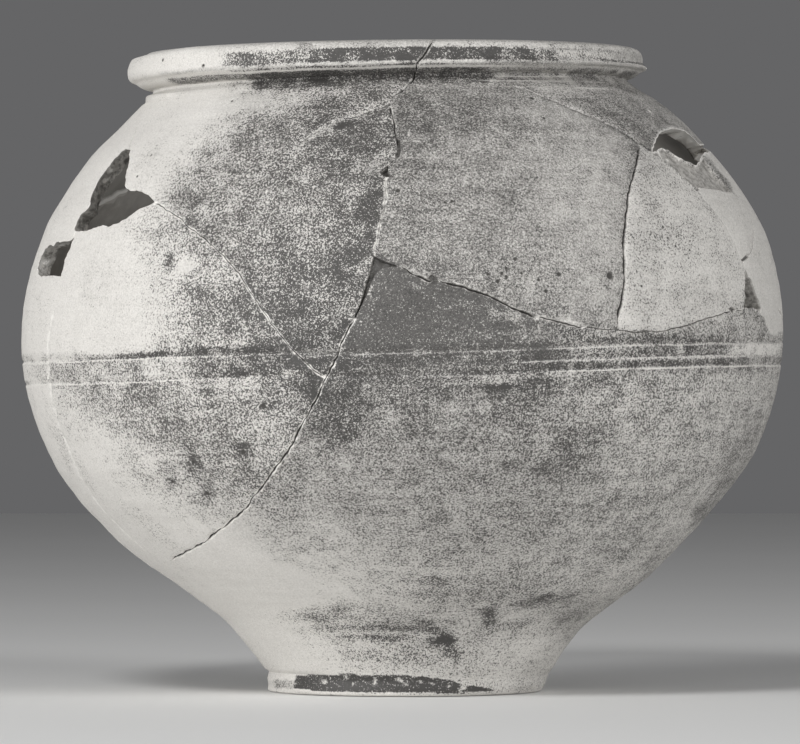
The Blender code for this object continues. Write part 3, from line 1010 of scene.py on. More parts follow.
def lay_out_rows():
    """Rows of points over the whole outline, and the bands whose rows stay lines."""
    foot, body, collar, collar_end = START["foot"], START["body"], START["collar"], END["collar"]
    rows = [(a, UNDERSIDE_STEP, UNDERSIDE_STEP) for a in rows_between(0.0, foot, FLAT_ROW_STEP)]
    groove_rows = sorted(
        along_at_height(height) + g
        for height in (UPPER_GROOVE, MIDDLE_GROOVE, LOWER_GROOVE) for g in GROOVE_ROWS)
    spaced = [groove_rows[0]]
    for a in groove_rows[1:]:
        if a - spaced[-1] > ROW_GAP:
            spaced.append(a)
    ends = (collar, collar + COLLAR_LOW, collar_end - COLLAR_TOP, collar_end - COLLAR_END_ROOM)
    collar_rows = [
        a for low, high, step in zip(ends, ends[1:], COLLAR_ROW_STEPS)
        for a in np.arange(low, high, step)]
    bands = [
        rows_between(foot, body, FOOT_ROW_STEP) + [body + a for a in ABOVE_FOOT_ROWS],
        spaced,
        [collar - a for a in BELOW_COLLAR_ROWS] + collar_rows,
    ]
    number = 0
    for lower, upper in zip(bands, bands[1:]):
        for a in rows_between(lower[-1], upper[0], FRONT_STEP * ROW_SHARE)[1:]:
            rows.append((a, FRONT_STEP, BACK_STEP if number % 2 == 0 else None))
            number += 1
    rows += [
        (a, INSIDE_STEP, INSIDE_STEP)
        for a in rows_between(collar_end - 0.5, END["inside"], INSIDE_ROW_STEP)]
    corner_rows = rows_between(START["corner"], END["corner"], CORNER_ROW_STEP)
    rows += [(a, CORNER_STEP, CORNER_STEP) for a in corner_rows]
    floor_rows = rows_between(START["floor"], END["floor"], FLAT_ROW_STEP) + [END["floor"]]
    rows += [(a, FLOOR_STEP, FLOOR_STEP) for a in floor_rows]
    flat = []
    for number, (along, front, back) in enumerate(rows):
        radius = radius_at(along)
        turns = columns(radius, front, back or BACK_STEP, 0.5 * (number % 2))
        if back is None:
            turns = turns[np.abs(turns) < FRONT_HALF + FRONT_FADE * 0.5]
        flat.append(np.column_stack((turns, np.full(len(turns), even_at(along)))))
    hubs = (layout.add(flat[0]), layout.add(flat[-1]))
    banded = []
    for band, share in zip(bands, BAND_STEP_SHARES):
        radius = radius_at(np.array(band)).mean()
        turns = columns(radius, FRONT_STEP * share, BACK_STEP * BAND_BACK_SHARE, 0.0)
        for along in band:
            shift = groove_rise(turns) if band is spaced else np.zeros(len(turns))
            banded.append(np.column_stack((turns, even_at(along + shift))))
    return flat[1:-1], banded, hubs


def clear_of_features(flat, feature_tree, gap, rings):
    """Rows without the points that lie on a feature or in a lost sherd's place."""
    points = in_space(flat)
    keep = np.array([feature_tree.find(p)[2] > gap for p in points])
    for ring in rings:
        keep &= ~within(flat, ring)
    seam = np.abs(np.abs(flat[:, 0]) - math.pi) < SAME
    return keep | seam


def lay_out():
    lay_out_breaks()
    lay_out_recesses()
    lay_out_joins()
    lay_out_ledge()
    lay_out_pits()
    fixed = np.array(layout.flat)
    rings = [b["edge"] for b in breaks.values()] + [b["inner"] for b in breaks.values()]
    extra = np.vstack(layout.taken)
    for ring in rings:
        extra = extra[~within(extra, ring)]
    for name, edge in recesses.items():
        if name != "flaked":
            extra = extra[~within(extra, edge)]
    extra = thinned(extra, in_space(fixed), MARK_ROOM)
    layout.add(extra)
    rows, banded, hubs = lay_out_rows()
    features = in_space(np.vstack((fixed, extra)))
    tree = tree_of(features)
    for row in rows:
        layout.add(row[clear_of_features(row, tree, ROW_ROOM, rings)])
    for row in banded:
        for run in runs(clear_of_features(row, tree, BAND_ROOM, rings)):
            layout.add(row[run], keep_edges=True)
    return hubs


# Relief, in millimetres along the normal

# The skin's unevenness: millimetres, size of its lumps and seed
UNEVEN_OUTSIDE = ((0.35, 75.0, 1), (0.1, 21.0, 2), (0.06, 6.0, 3))
UNEVEN_INSIDE = ((0.4, 60.0, 11), (0.12, 14.0, 12))
# Turning marks: millimetres, their spacing over 2 pi, where they start, size and seed of the
# stretches where they show
TURNING_MARKS = ((0.07, 1.35, 0.0, 50.0, 5), (0.09, 3.1, 1.0, 60.0, 6))
TURNING_WANDER = (1.6, 90.0, 4)
FINGER_RIDGES = (0.35, 1.75)
FINGER_WANDER = (2.0, 80.0, 13)
FINGER_CLIMB = 1.4
INSIDE_FADES = (14.0, 18.0)
# A girth groove: millimetres, how far above its worn edge, and half width of each part
GROOVE_SHAPE = ((-0.75, 0.75, 0.75), (0.1, -0.4, 0.45))
GROOVE_DEPTH = ((UPPER_GROOVE, 1.0), (LOWER_GROOVE, 0.8))
# How its depth changes around: mean share, change, and length of the wiggles in degrees
GROOVE_WORN = (0.75, 0.25, 16.0)
MIDDLE_GROOVE_DEPTH = 0.7
# In degrees around: from where and over how much the middle groove begins, and where it ends
MIDDLE_GROOVE_START = (6.0, 8.0)
MIDDLE_GROOVE_END = (95.0, 20.0)
# Near the foot and the collar the skin is smoother: least share, and over how much it grows
SMOOTHER = (0.25, 6.0, 4.0)
FOOT_FADE = 4.0
# The trim reaches this far up the collar and starts over this much of the foot
TRIM_TOP = 4.0
TRIM_FADE = 2.0
# The outline's sides: degrees around, how far they reach and over how much they fade
OUTLINE_SIDE = (88.0, 14.0, 40.0)
# Mouldings that aren't the same all round: side, part, height, half width and millimetres
COLLAR_FACE = 6.0
MOULDINGS = (
    ("left", "under", 266.3, 0.8, 1.0), ("left", "under", 264.7, 0.7, -0.5),
    ("left", "under", 269.2, 0.6, -1.7), ("left", "face", 277.6, 3.2, 1.2),
    ("left", "face", 274.4, 0.8, -0.5), ("left", "face", 283.9, 1.3, -1.1),
    ("sides", "face", 272.2, 1.2, -0.8), ("right", "face", 274.6, 0.8, 0.4),
    ("right", "face", 277.2, 0.9, -0.4), ("low_left", "all", 9.2, 1.0, -0.9),
    ("low_left", "all", 6.2, 1.8, 0.5),
)


def past(values, start, width):
    """0 up to start, easing to 1 over this width."""
    return smooth_share((values - start) / width)


def before(values, end, width):
    """1 until this width before end, easing to 0 there."""
    return smooth_share((end - values) / width)


def uneven(space, parts):
    return sum(amount * cloud(space, size, seed) for amount, size, seed in parts)


def groove_rise(turn):
    """How far the grooves stand above their usual height, turn by turn."""
    return np.interp(np.degrees(turn), *np.array(GROOVE_RISE, float).T)


def groove_relief(rise):
    """A turned groove: a crisp worn lower edge with the hollow just above it."""
    return sum(amount * bell(rise - level, reach) for amount, level, reach in GROOVE_SHAPE)


def outer_relief(places, space):
    """Relief of the outside, apart from its joins, breaks and pits."""
    along, turn = places.T
    height = height_at(along)
    degrees = np.degrees(turn)
    relief = uneven(space, UNEVEN_OUTSIDE)
    ring = along + uneven(space, (TURNING_WANDER,))
    for amount, spacing, start, size, seed in TURNING_MARKS:
        shown = smooth_share(0.5 + cloud(space, size, seed))
        relief += amount * np.sin(ring / spacing + start) * shown
    least, low, high = SMOOTHER
    on_body = past(along, START["body"], low) * before(along, END["body"], high)
    relief *= least + (1.0 - least) * on_body
    relief *= past(along, START["foot"], FOOT_FADE)
    shift = groove_rise(turn)
    for level, depth in GROOVE_DEPTH:
        mean, change, length_of_wave = GROOVE_WORN
        worn = mean + change * wave(degrees / length_of_wave, level)
        relief += depth * worn * groove_relief(along - along_at_height(level) - shift)
    middle = past(degrees, *MIDDLE_GROOVE_START) * before(degrees, *MIDDLE_GROOVE_END)
    middle *= MIDDLE_GROOVE_DEPTH
    relief += middle * groove_relief(along - along_at_height(MIDDLE_GROOVE) - shift)
    sides = {
        "left": past(-degrees, 48.0, 30.0) * past(degrees, -178.0, 60.0),
        "right": past(degrees, 14.0, 16.0) + past(-degrees, 120.0, 30.0),
        "sides": past(np.abs(degrees), 30.0, 30.0),
        "low_left": past(-degrees, 20.0, 30.0) * past(degrees, -170.0, 40.0),
    }
    face = along > START["collar"] + COLLAR_FACE
    parts = {"face": face, "under": ~face, "all": 1.0}
    for side, part, level, reach, amount in MOULDINGS:
        relief += sides[side] * parts[part] * amount * bell(height - level, reach)
    levels, at_left, at_right = np.array(TRIM).T
    middle, reach, fade = OUTLINE_SIDE
    side = 1.0 - past(np.abs(np.abs(degrees) - middle), reach, fade)
    trim = np.interp(height, levels, at_right)
    trim = np.where(degrees < 0.0, np.interp(height, levels, at_left), trim)
    trimmed = (along < START["collar"] + TRIM_TOP) * past(along, START["foot"], TRIM_FADE)
    return relief + side * trim * trimmed


def inner_relief(places, space):
    """The fingers' turning ridges inside, and its unevenness."""
    along, turn = places.T
    amount, spacing = FINGER_RIDGES
    ring = along + turn * FINGER_CLIMB + uneven(space, (FINGER_WANDER,))
    relief = uneven(space, UNEVEN_INSIDE) + amount * np.sin(ring / spacing)
    top, low = INSIDE_FADES
    return relief * past(along, END["collar"], top) * before(along, END["floor"], low)


VALUE_NAMES = ("slip", "film", "pale", "gap", "raw", "inside")
FINE_LUMPS = (2.2, 21)
# Joins: how their ends fade, their least width, the reach of their worn edge and of the step
# between two sherds, and how the edge's paleness changes with the fine lumps
JOIN_END = 3.0
JOIN_END_SHARE = 0.15
JOIN_LEAST = 0.2
JOIN_WORN_SHARE = 0.8
JOIN_EDGE_SINK = 0.16
JOIN_EDGE_REACH = 8.0
STEP_REACH = 3.5
STEP_END = 9.0
CHIPPED = (0.75, 0.6)
# Recesses: width of their sides, how rough they are, how much painted shade darkens them by
# depth, and their pale edge
RECESS_SIDE = 0.4
RECESS_ROUGH = (0.85, 0.3)
RECESS_SHADE = 0.62
RECESS_SHADE_DEPTH = 1.9
RECESS_SHADE_SIDE = 0.35
RECESS_EDGE_PALE = 0.22
RECESS_EDGE_REACH = 0.6
# The flaked skin: width of its side, its lumps, and the film and speckle that it keeps
FLAKE_SIDE = 0.8
FLAKE_LUMPS = (0.35, 5.0, 31)
FLAKE_FINE = 0.2
FLAKE_LUMP_SIDE = 1.5
FLAKE_EDGE = 0.7
FLAKE_FILM = (0.95, 0.25)
FLAKE_RAW = 0.5
FLAKE_SPECKLE = 0.05
# Broken edges: how worn, how far, and how wide their pale edge is
BREAK_WORN = (0.15, 0.3)
BREAK_WORN_REACH = 0.9
BREAK_WORN_END = 6.0
BREAK_EDGE_REACH = 0.75
PIT_SIDE = (0.3, 0.75)
PIT_DARK = 0.95
# Inside: where its own colour begins, the ledge's shape with the painted light and shade around
# it, and the painted shade on the far wall
INSIDE_COLOUR = (OUTSIDE_END + 3.0, 5.0)
LEDGE_END = 90.0
LEDGE_FADE = 6.0
LEDGE_SIDE = 0.7
LEDGE_REACH = 20.0
LEDGE_PAINT_REACH = 30.0
LEDGE_PAINTED_SHADE = 0.42
LEDGE_PAINTED_LIGHT = 0.34
INSIDE_SHADE = (0.6, 42.0)
# Ribs below the ledge, and the painted highlight and painted shade lines there: distance, half
# width and amount
LEDGE_RIBS = ((7.0, 1.4, 0.5), (14.0, 2.0, 0.4))
LEDGE_PAINTED_LINES = ((0.4, 0.7, 0.9), (7.0, 1.2, 0.22), (15.0, 1.6, 0.22), (3.6, 1.4, -0.25))


def distance_to_edge(space, edge):
    ring = in_space(edge)
    return nearest_on(space, np.vstack((ring, ring[:1])))[0]


def side_of(flat, line, where):
    """1 to the left of a line on the map, -1 to its right."""
    index = np.minimum(where.astype(int), len(line) - 2)
    start = line[index]
    way = line[index + 1] - start
    to = flat - start
    return np.sign(way[:, 0] * to[:, 1] - way[:, 1] * to[:, 0])


class Surface:
    """Every point's place, relief and the values that the clay's material reads."""

    def __init__(self, flat):
        self.flat = flat
        self.places = unplane(flat)
        self.space = thrown(*self.places.T)
        self.outside = self.places[:, 0] <= OUTSIDE_END
        self.relief = np.zeros(len(flat))
        for side, relief_of in ((self.outside, outer_relief), (~self.outside, inner_relief)):
            self.relief[side] = relief_of(self.places[side], self.space[side])
        self.values = {name: np.zeros(len(flat)) for name in VALUE_NAMES}
        self.fine = cloud(self.space, *FINE_LUMPS)
        self.flaked = np.zeros(len(flat))

    def raise_to(self, name, least):
        self.values[name] = np.maximum(self.values[name], least)

    def cut_joins(self):
        for join in joins.values():
            depth, worn, pale, step = join["shape"]
            distance, where = nearest_on(self.space, join["space"])
            distance = np.where(self.outside, distance, FAR)
            last = len(join["width"]) - 1
            width = np.interp(where, np.arange(last + 1), join["width"])
            fade = smooth_share(np.minimum(where, last - where) / JOIN_END + JOIN_END_SHARE)
            groove = 1.0 - smooth_share(distance / np.maximum(width, JOIN_LEAST))
            edge = np.exp(-np.maximum(distance - width, 0.0) / (worn * JOIN_WORN_SHARE))
            edge *= distance < JOIN_EDGE_REACH
            self.relief -= fade * (depth * groove + JOIN_EDGE_SINK * edge)
            side = side_of(self.flat, join["line"], where)
            rise = 0.5 * step * side * np.exp(-distance / STEP_REACH) * (distance < STEP_END)
            self.relief += fade * rise
            self.raise_to("gap", fade * groove * min(1.0, depth))
            chipped = CHIPPED[0] + CHIPPED[1] * self.fine
            self.raise_to("pale", pale * chipped * (1.0 - past(distance, width, worn)))

    def sink_recesses(self):
        for name, edge in recesses.items():
            inside = within(self.flat, edge) & self.outside
            distance = distance_to_edge(self.space, edge)
            if name == "flaked":
                sink = FLAKE_DEPTH * smooth_share(distance / FLAKE_SIDE)
                rough = uneven(self.space, (FLAKE_LUMPS,)) + FLAKE_FINE * self.fine
                sink = sink + rough * smooth_share(distance / FLAKE_LUMP_SIDE)
                self.flaked = np.where(inside, smooth_share(distance / FLAKE_EDGE), 0.0)
            else:
                depth = RECESS_DEPTH[name]
                sink = depth * smooth_share(distance / RECESS_SIDE)
                sink *= RECESS_ROUGH[0] + RECESS_ROUGH[1] * self.fine
                # Painted shade: a recess is painted darker the deeper it is
                painted_shade = min(RECESS_SHADE, depth / RECESS_SHADE_DEPTH)
                painted_shade = painted_shade * smooth_share(distance / RECESS_SHADE_SIDE)
                self.values["gap"] = np.where(inside, painted_shade, self.values["gap"])
                edge_pale = RECESS_EDGE_PALE * bell(distance, RECESS_EDGE_REACH)
                self.raise_to("pale", edge_pale * ~inside)
            self.relief = np.where(inside, self.relief - sink, self.relief)

    def wear_breaks(self):
        for name, broken in breaks.items():
            distance = distance_to_edge(self.space, broken["edge"])
            distance = np.where(self.outside, distance, FAR)
            worn = BREAK_WORN[0] + BREAK_WORN[1] * self.fine
            near = distance < BREAK_WORN_END
            self.relief -= worn * np.exp(-distance / BREAK_WORN_REACH) * near
            self.raise_to("pale", BREAK_SHAPE[name][2] * bell(distance, BREAK_EDGE_REACH))

    def sink_pits(self):
        middles = thrown(*from_photo([p[:2] for p in PITS_PX]).T)
        for middle, (_, _, radius_px, depth) in zip(middles, PITS_PX):
            radius = radius_px * FRONT_SCALE * PIT_SPREAD
            distance = np.linalg.norm(self.space - middle, axis=1) / radius
            sink = 1.0 - past(np.where(self.outside, distance, FAR), *PIT_SIDE)
            self.relief -= depth * sink
            self.raise_to("gap", PIT_DARK * sink)

    def mark_inside(self):
        """The inside's own colour, its ledge with painted shade above and painted light below,
        and painted shade on the far wall.
        """
        self.values["inside"] = past(self.places[:, 0], *INSIDE_COLOUR)
        distance, where = nearest_on(self.space, ledge["space"])
        distance = np.where(self.outside, FAR, distance)
        near = distance < LEDGE_END
        fade = smooth_share(np.minimum(where, len(ledge["line"]) - 1 - where) / LEDGE_FADE)
        below = -side_of(self.flat, ledge["line"], where)
        edge = smooth_share(0.5 + below * distance / LEDGE_SIDE)
        self.relief += LEDGE_STEP * fade * edge * np.exp(-distance / LEDGE_REACH) * near
        ribs = sum(a * bell(distance - at, reach) for at, reach, a in LEDGE_RIBS)
        self.relief += fade * ribs * (below > 0.0)
        spread = np.exp(-distance / LEDGE_PAINT_REACH) * near
        # Painted shade above the ledge, and below it painted light with painted highlight and
        # shade lines
        self.raise_to("gap", LEDGE_PAINTED_SHADE * fade * (1.0 - edge) * spread)
        painted_light = LEDGE_PAINTED_LIGHT * spread
        painted_light = painted_light + sum(a * bell(distance - at, reach) for at, reach, a in LEDGE_PAINTED_LINES)
        self.raise_to("pale", fade * painted_light * (below > 0.0))
        # Painted shade on the part of the far wall seen through the upper right gap
        shade_middle = thrown(*from_photo_inside(INSIDE_SHADE_PX).T).mean(axis=0)
        distance = np.linalg.norm(self.space - shade_middle, axis=1)
        painted_shade, reach = INSIDE_SHADE
        self.raise_to("gap", painted_shade * bell(np.where(self.outside, FAR, distance), reach))

    def paint_flake(self):
        """The flaked skin keeps a thin dark film."""
        film = FLAKE_FILM[0] + FLAKE_FILM[1] * self.fine
        self.values["film"] += (film - self.values["film"]) * self.flaked
        self.values["raw"] += FLAKE_RAW * self.flaked
        self.values["slip"] += (speckle_level(FLAKE_SPECKLE) - self.values["slip"]) * self.flaked


def shape_surface(flat):
    """The surface at these points of the map, with all its marks."""
    surface = Surface(flat)
    surface.cut_joins()
    surface.sink_recesses()
    surface.wear_breaks()
    surface.sink_pits()
    surface.mark_inside()
    paint(surface.places, surface.space, surface.values)
    surface.paint_flake()
    return surface


# What is left of the dark slip. Film is a smooth darkening, from 0 for bare clay to 1 for slip
# that is whole, and speckle is the share of the surface that still has grains of slip.

# Row by row, where the bare clay on the left ends
BARE_EDGE_PX = (
    (40, 205), (60, 226), (94, 240), (116, 222), (138, 208), (160, 208), (190, 176), (226, 150),
    (250, 160), (270, 182), (300, 165), (336, 168), (352, 150), (357, 40), (376, 40), (392, 80),
    (424, 100), (446, 132), (480, 155), (512, 190), (534, 222), (556, 262), (578, 292),
    (600, 300), (622, 280), (644, 322), (666, 345), (690, 350),
)
BARE_FADE = 36.0
# The main join below the grooves, row by row, and how the film thins out to its right:
# across or down, from where, over how much, and by how much
LOWER_JOIN_PX = (
    (378, 325), (400, 316), (423, 303), (451, 288), (477, 270), (514, 240), (543, 204),
    (561, 171), (600, 150),
)
LOWER_WEAR_PX = ((0, 560.0, 80.0, 0.22), (1, 540.0, 40.0, 0.14), (1, 620.0, 40.0, 0.16))
LOWER_BODY_TOP_PX = 350
JOIN_BLEND_PX = 3.0
# Film and speckle to the left of that join, and what is added to its right
LOWER_LEFT = (0.14, 0.46)
LOWER_RIGHT = (0.46, -0.2)
# From where and over how much the film there thins downward, spreads to the right, and turns
# grainy, and where the speckle thins
LOW_BODY_PX = (470.0, 60.0)
LOW_BODY_LESS = (0.14, 0.3)
SPREAD_PX = (190.0, 240.0)
GRAINY_PX = (470.0, 80.0)
GRAINY_END_PX = (580.0, 50.0)
GRAINY = (-0.12, 0.1)
LOW_SPECKLE_PX = (630.0, 40.0)
LOW_SPECKLE_LESS = 0.12
BARE_SPECKLE = 0.03
# Noise in the slip: size of its lumps, seed and, where there are more than 2, its octaves
SLIP_LUMPS = (24.0, 41, 3)
BACK_LUMPS = (70.0, 42)
RAGGED_LUMPS = (5.0, 43)
BLOTCH_LUMPS = (5.5, 44)
# How far the slip's edges wander and how ragged its patches are
EDGE_WANDER_PX = 14.0
RAGGED = 0.45
RIM_FROM = 269.0
RIM_FILM = (0.2, 0.18)
RIM_FILM_PX = (250.0, 100.0)
RIM_SPECKLE = 0.05
# The dark band at the foot: film, speckle and how much of it has gone
FOOT_BAND = (1.4, 0.9)
FOOT_BAND_LUMPS = 0.62
# Degrees around where the front ends and over how much, and the slip at the back
FRONT_END = (84.0, 14.0)
BACK_WORN = 0.9
BACK_FILM = (0.1, 0.3)
BACK_SPECKLE = (0.12, 0.3, 0.22)
BACK_RIM = (0.15, 0.1)
MOST_FILM = 1.6
MOST_SPECKLE = 0.99
# How blotchy the bands are, and how much slip a pale band or filler hides
BLOTCHES = (0.6, 0.3)
BARED = 3.4
FILLER_COVER = (0.12, 1.4)
NO_SLIP = -3.0
# Seams between sherds whose slip differs
LEFT_SEAM_PX = ((154, 201), (181, 219), (212, 245), (245, 283), (273, 326))
SHOULDER_SEAM_PX = ((512, 85.6), (543, 97), (568, 106.4), (600, 120.6), (640, 142.4))
UPRIGHT_SEAM_PX = (
    (636.6, 166), (630.6, 187), (626.8, 210), (624.6, 238), (625, 265), (624.4, 287),
    (620.2, 310), (617.4, 328),
)
ACROSS_SEAM_PX = (
    (375, 255), (400, 266.6), (425, 278.8), (452, 284), (480, 292.6), (507, 306), (537, 317),
)
# Sherds that kept the slip differently from their neighbours: outline, film and speckle
SHERDS_PX = (
    (((190, 60), (416, 62), (416, 76), (402, 90), (390, 100), (394, 127), (397, 142), (393, 159),
      (387, 177), (386, 195), (382, 218), (374, 255), (370, 270), (362, 297), (354, 318),
      (342, 343), (325, 378), (306, 363), *LEFT_SEAM_PX[::-1], (150, 120)), 0.38, 0.6),
    ((*LEFT_SEAM_PX, (297, 354), (297, 356), (20, 362), (20, 200), (80, 200)), 0.12, 0.5),
    (((389, 101), (402, 90), (415, 77), (440, 82), *SHOULDER_SEAM_PX, *UPRIGHT_SEAM_PX,
      (586, 326.4), *ACROSS_SEAM_PX[::-1], (378.6, 230), (384, 206.6), (386, 177), (393.3, 159),
      (397.2, 141.6), (393.9, 127)), 0.74, 0.11),
    ((*SHOULDER_SEAM_PX, (652, 152), (706, 149), (760, 149), (660, 60), (500, 80)), 0.62, 0.26),
    (((640, 142.4), (652, 152), (663, 159), (681, 176), (694, 188), (704, 199), (720, 219.6),
      (734, 243), (745, 268), (744, 311), (700, 321), (661, 332),
      *UPRIGHT_SEAM_PX[::-1]), 0.2, 0.13),
    (((698, 150), (760, 150), (810, 330), (771, 334), (763, 314), (745, 268), (720, 219.6),
      (698, 191)), 0.16, 0.02),
    ((*ACROSS_SEAM_PX, (560, 322), (586, 326.4), (617, 330), (661, 332.6), (700, 321),
      (728, 312), (745, 311), (763, 314), (772, 334), (810, 334), (790, 345), (556, 350),
      (344, 350), (342, 343), (354, 318), (370, 290)), 1.45, 0.18),
)
# The last of them is whole at its left and worn at its right: from and over how much, and the
# film and speckle there
THINNING_PX = (532.0, 58.0)
THINNED = (0.42, 0.34)
# Bands that run around the jar: the outline's heights, degrees around from the front, and then
# either film and speckle or, alone, how pale the worn clay is
BANDS = (
    (274.8, 280.6, -40, -19, 0.3, 0.68), (274.9, 281, -19, 28, 0.8, 0.88),
    (274.8, 280.6, 28, 42, 0.45, 0.76), (274.9, 280, 42, 62, 0.25, 0.24),
    (275.2, 276.8, 54, 90, 0.3, 0.75), (281.4, 283.4, 10, 90, 0.25, 0.12),
    (272.9, 273.5, -37, 12, 0.6, 0.75), (273.5, 274.9, -60, 28, 0.32, 0.06),
    # The film bands from 265 to 271.9 high, under the rim's lip, are dark slip and painted shade
    # together
    (272.1, 272.6, -44, 30, 0.3), (274.3, 274.8, 28, 90, 0.4), (265, 271.8, -9, 24, 0.9, 0.6),
    (265, 271.8, -34, -9, 1.15, 0.74), (270, 271.9, -60, -34, 0.55, 0.55),
    (265, 271.6, 24, 92, 0.62, 0.22), (268.1, 268.5, 27, 48, 0.42), (266.1, 266.4, 20, 60, 0.36),
    (263.1, 263.4, 24, 56, 0.4), (264.8, 269.4, -37.5, -33, 0, 0.04),
    (-0.4, 0.7, -80, 90, 0, 0.02),
)
# The same for bands by a groove, with heights above its worn edge
GROOVE_BANDS = {
    UPPER_GROOVE: (
        (0.3, 3.6, -82, -54, 0.1, 0.2), (0.3, 1.6, -54, -44, 0.4, 0.52),
        (0.3, 2.4, -44, -32, 0.62, 0.74), (0.3, 3.6, -32, -12, 1, 0.74),
        (0.5, 3.6, 27, 56, 0.85, 0.66), (0.5, 3.6, 56, 92, 0.36, 0.42),
        (0.5, 3.4, 92, 200, 0.5, 0.5), (0.5, 3, -200, -82, 0.35, 0.4),
        (0.2, 1.8, -19, 15, 1.3, 0.2), (-5.4, -0.5, 14, 24, 1.3, 0.42),
        (-6.4, -0.3, -22, -5, 1.35, 0.74), (-6, -0.4, -5, 14, 1.15, 0.36),
        (-5.2, -0.5, 28, 58, 0.6, 0.62), (-5.2, -0.5, 58, 80, 0.06, 0.22),
        (-9, -0.5, -56, -34, 0.14, 0.36), (-9, -0.4, -32, -20, 0.6, 0.72),
        (-0.4, 0, -200, -32, 0.34), (-0.34, 0, -32, 14, 0.1), (-0.34, 0, 14, 200, 0.24),
    ),
    LOWER_GROOVE: (
        (0.4, 3.8, 14, 34, 0.95, 0.66), (0.4, 3.1, 34, 60, 0.88, 0.6),
        (0.4, 3.1, 60, 86, 0.6, 0.46), (0.4, 2.6, -66, -40, 0.18, 0.4),
        (0.4, 2.8, 86, 200, 0.45, 0.45), (0.4, 2.6, -200, -78, 0.3, 0.35),
        (-3.4, -0.4, 8, 70, 0.5, 0.44), (-0.4, 0, -200, -34, 0.34), (-0.4, 0, 6, 19, 0.12),
        (-0.4, 0, 19, 200, 0.32),
    ),
    MIDDLE_GROOVE: ((-0.3, 0, 16, 76, 0.28),),
}
FOOT_BAND_PX = (
    (296, 677), (310, 675.8), (340, 674.6), (380, 675), (420, 676.4), (446, 679.8), (462, 683.6),
    (498, 690.6), (450, 692.6), (400, 692.8), (340, 691.4), (316, 690.4), (292, 688.6),
)
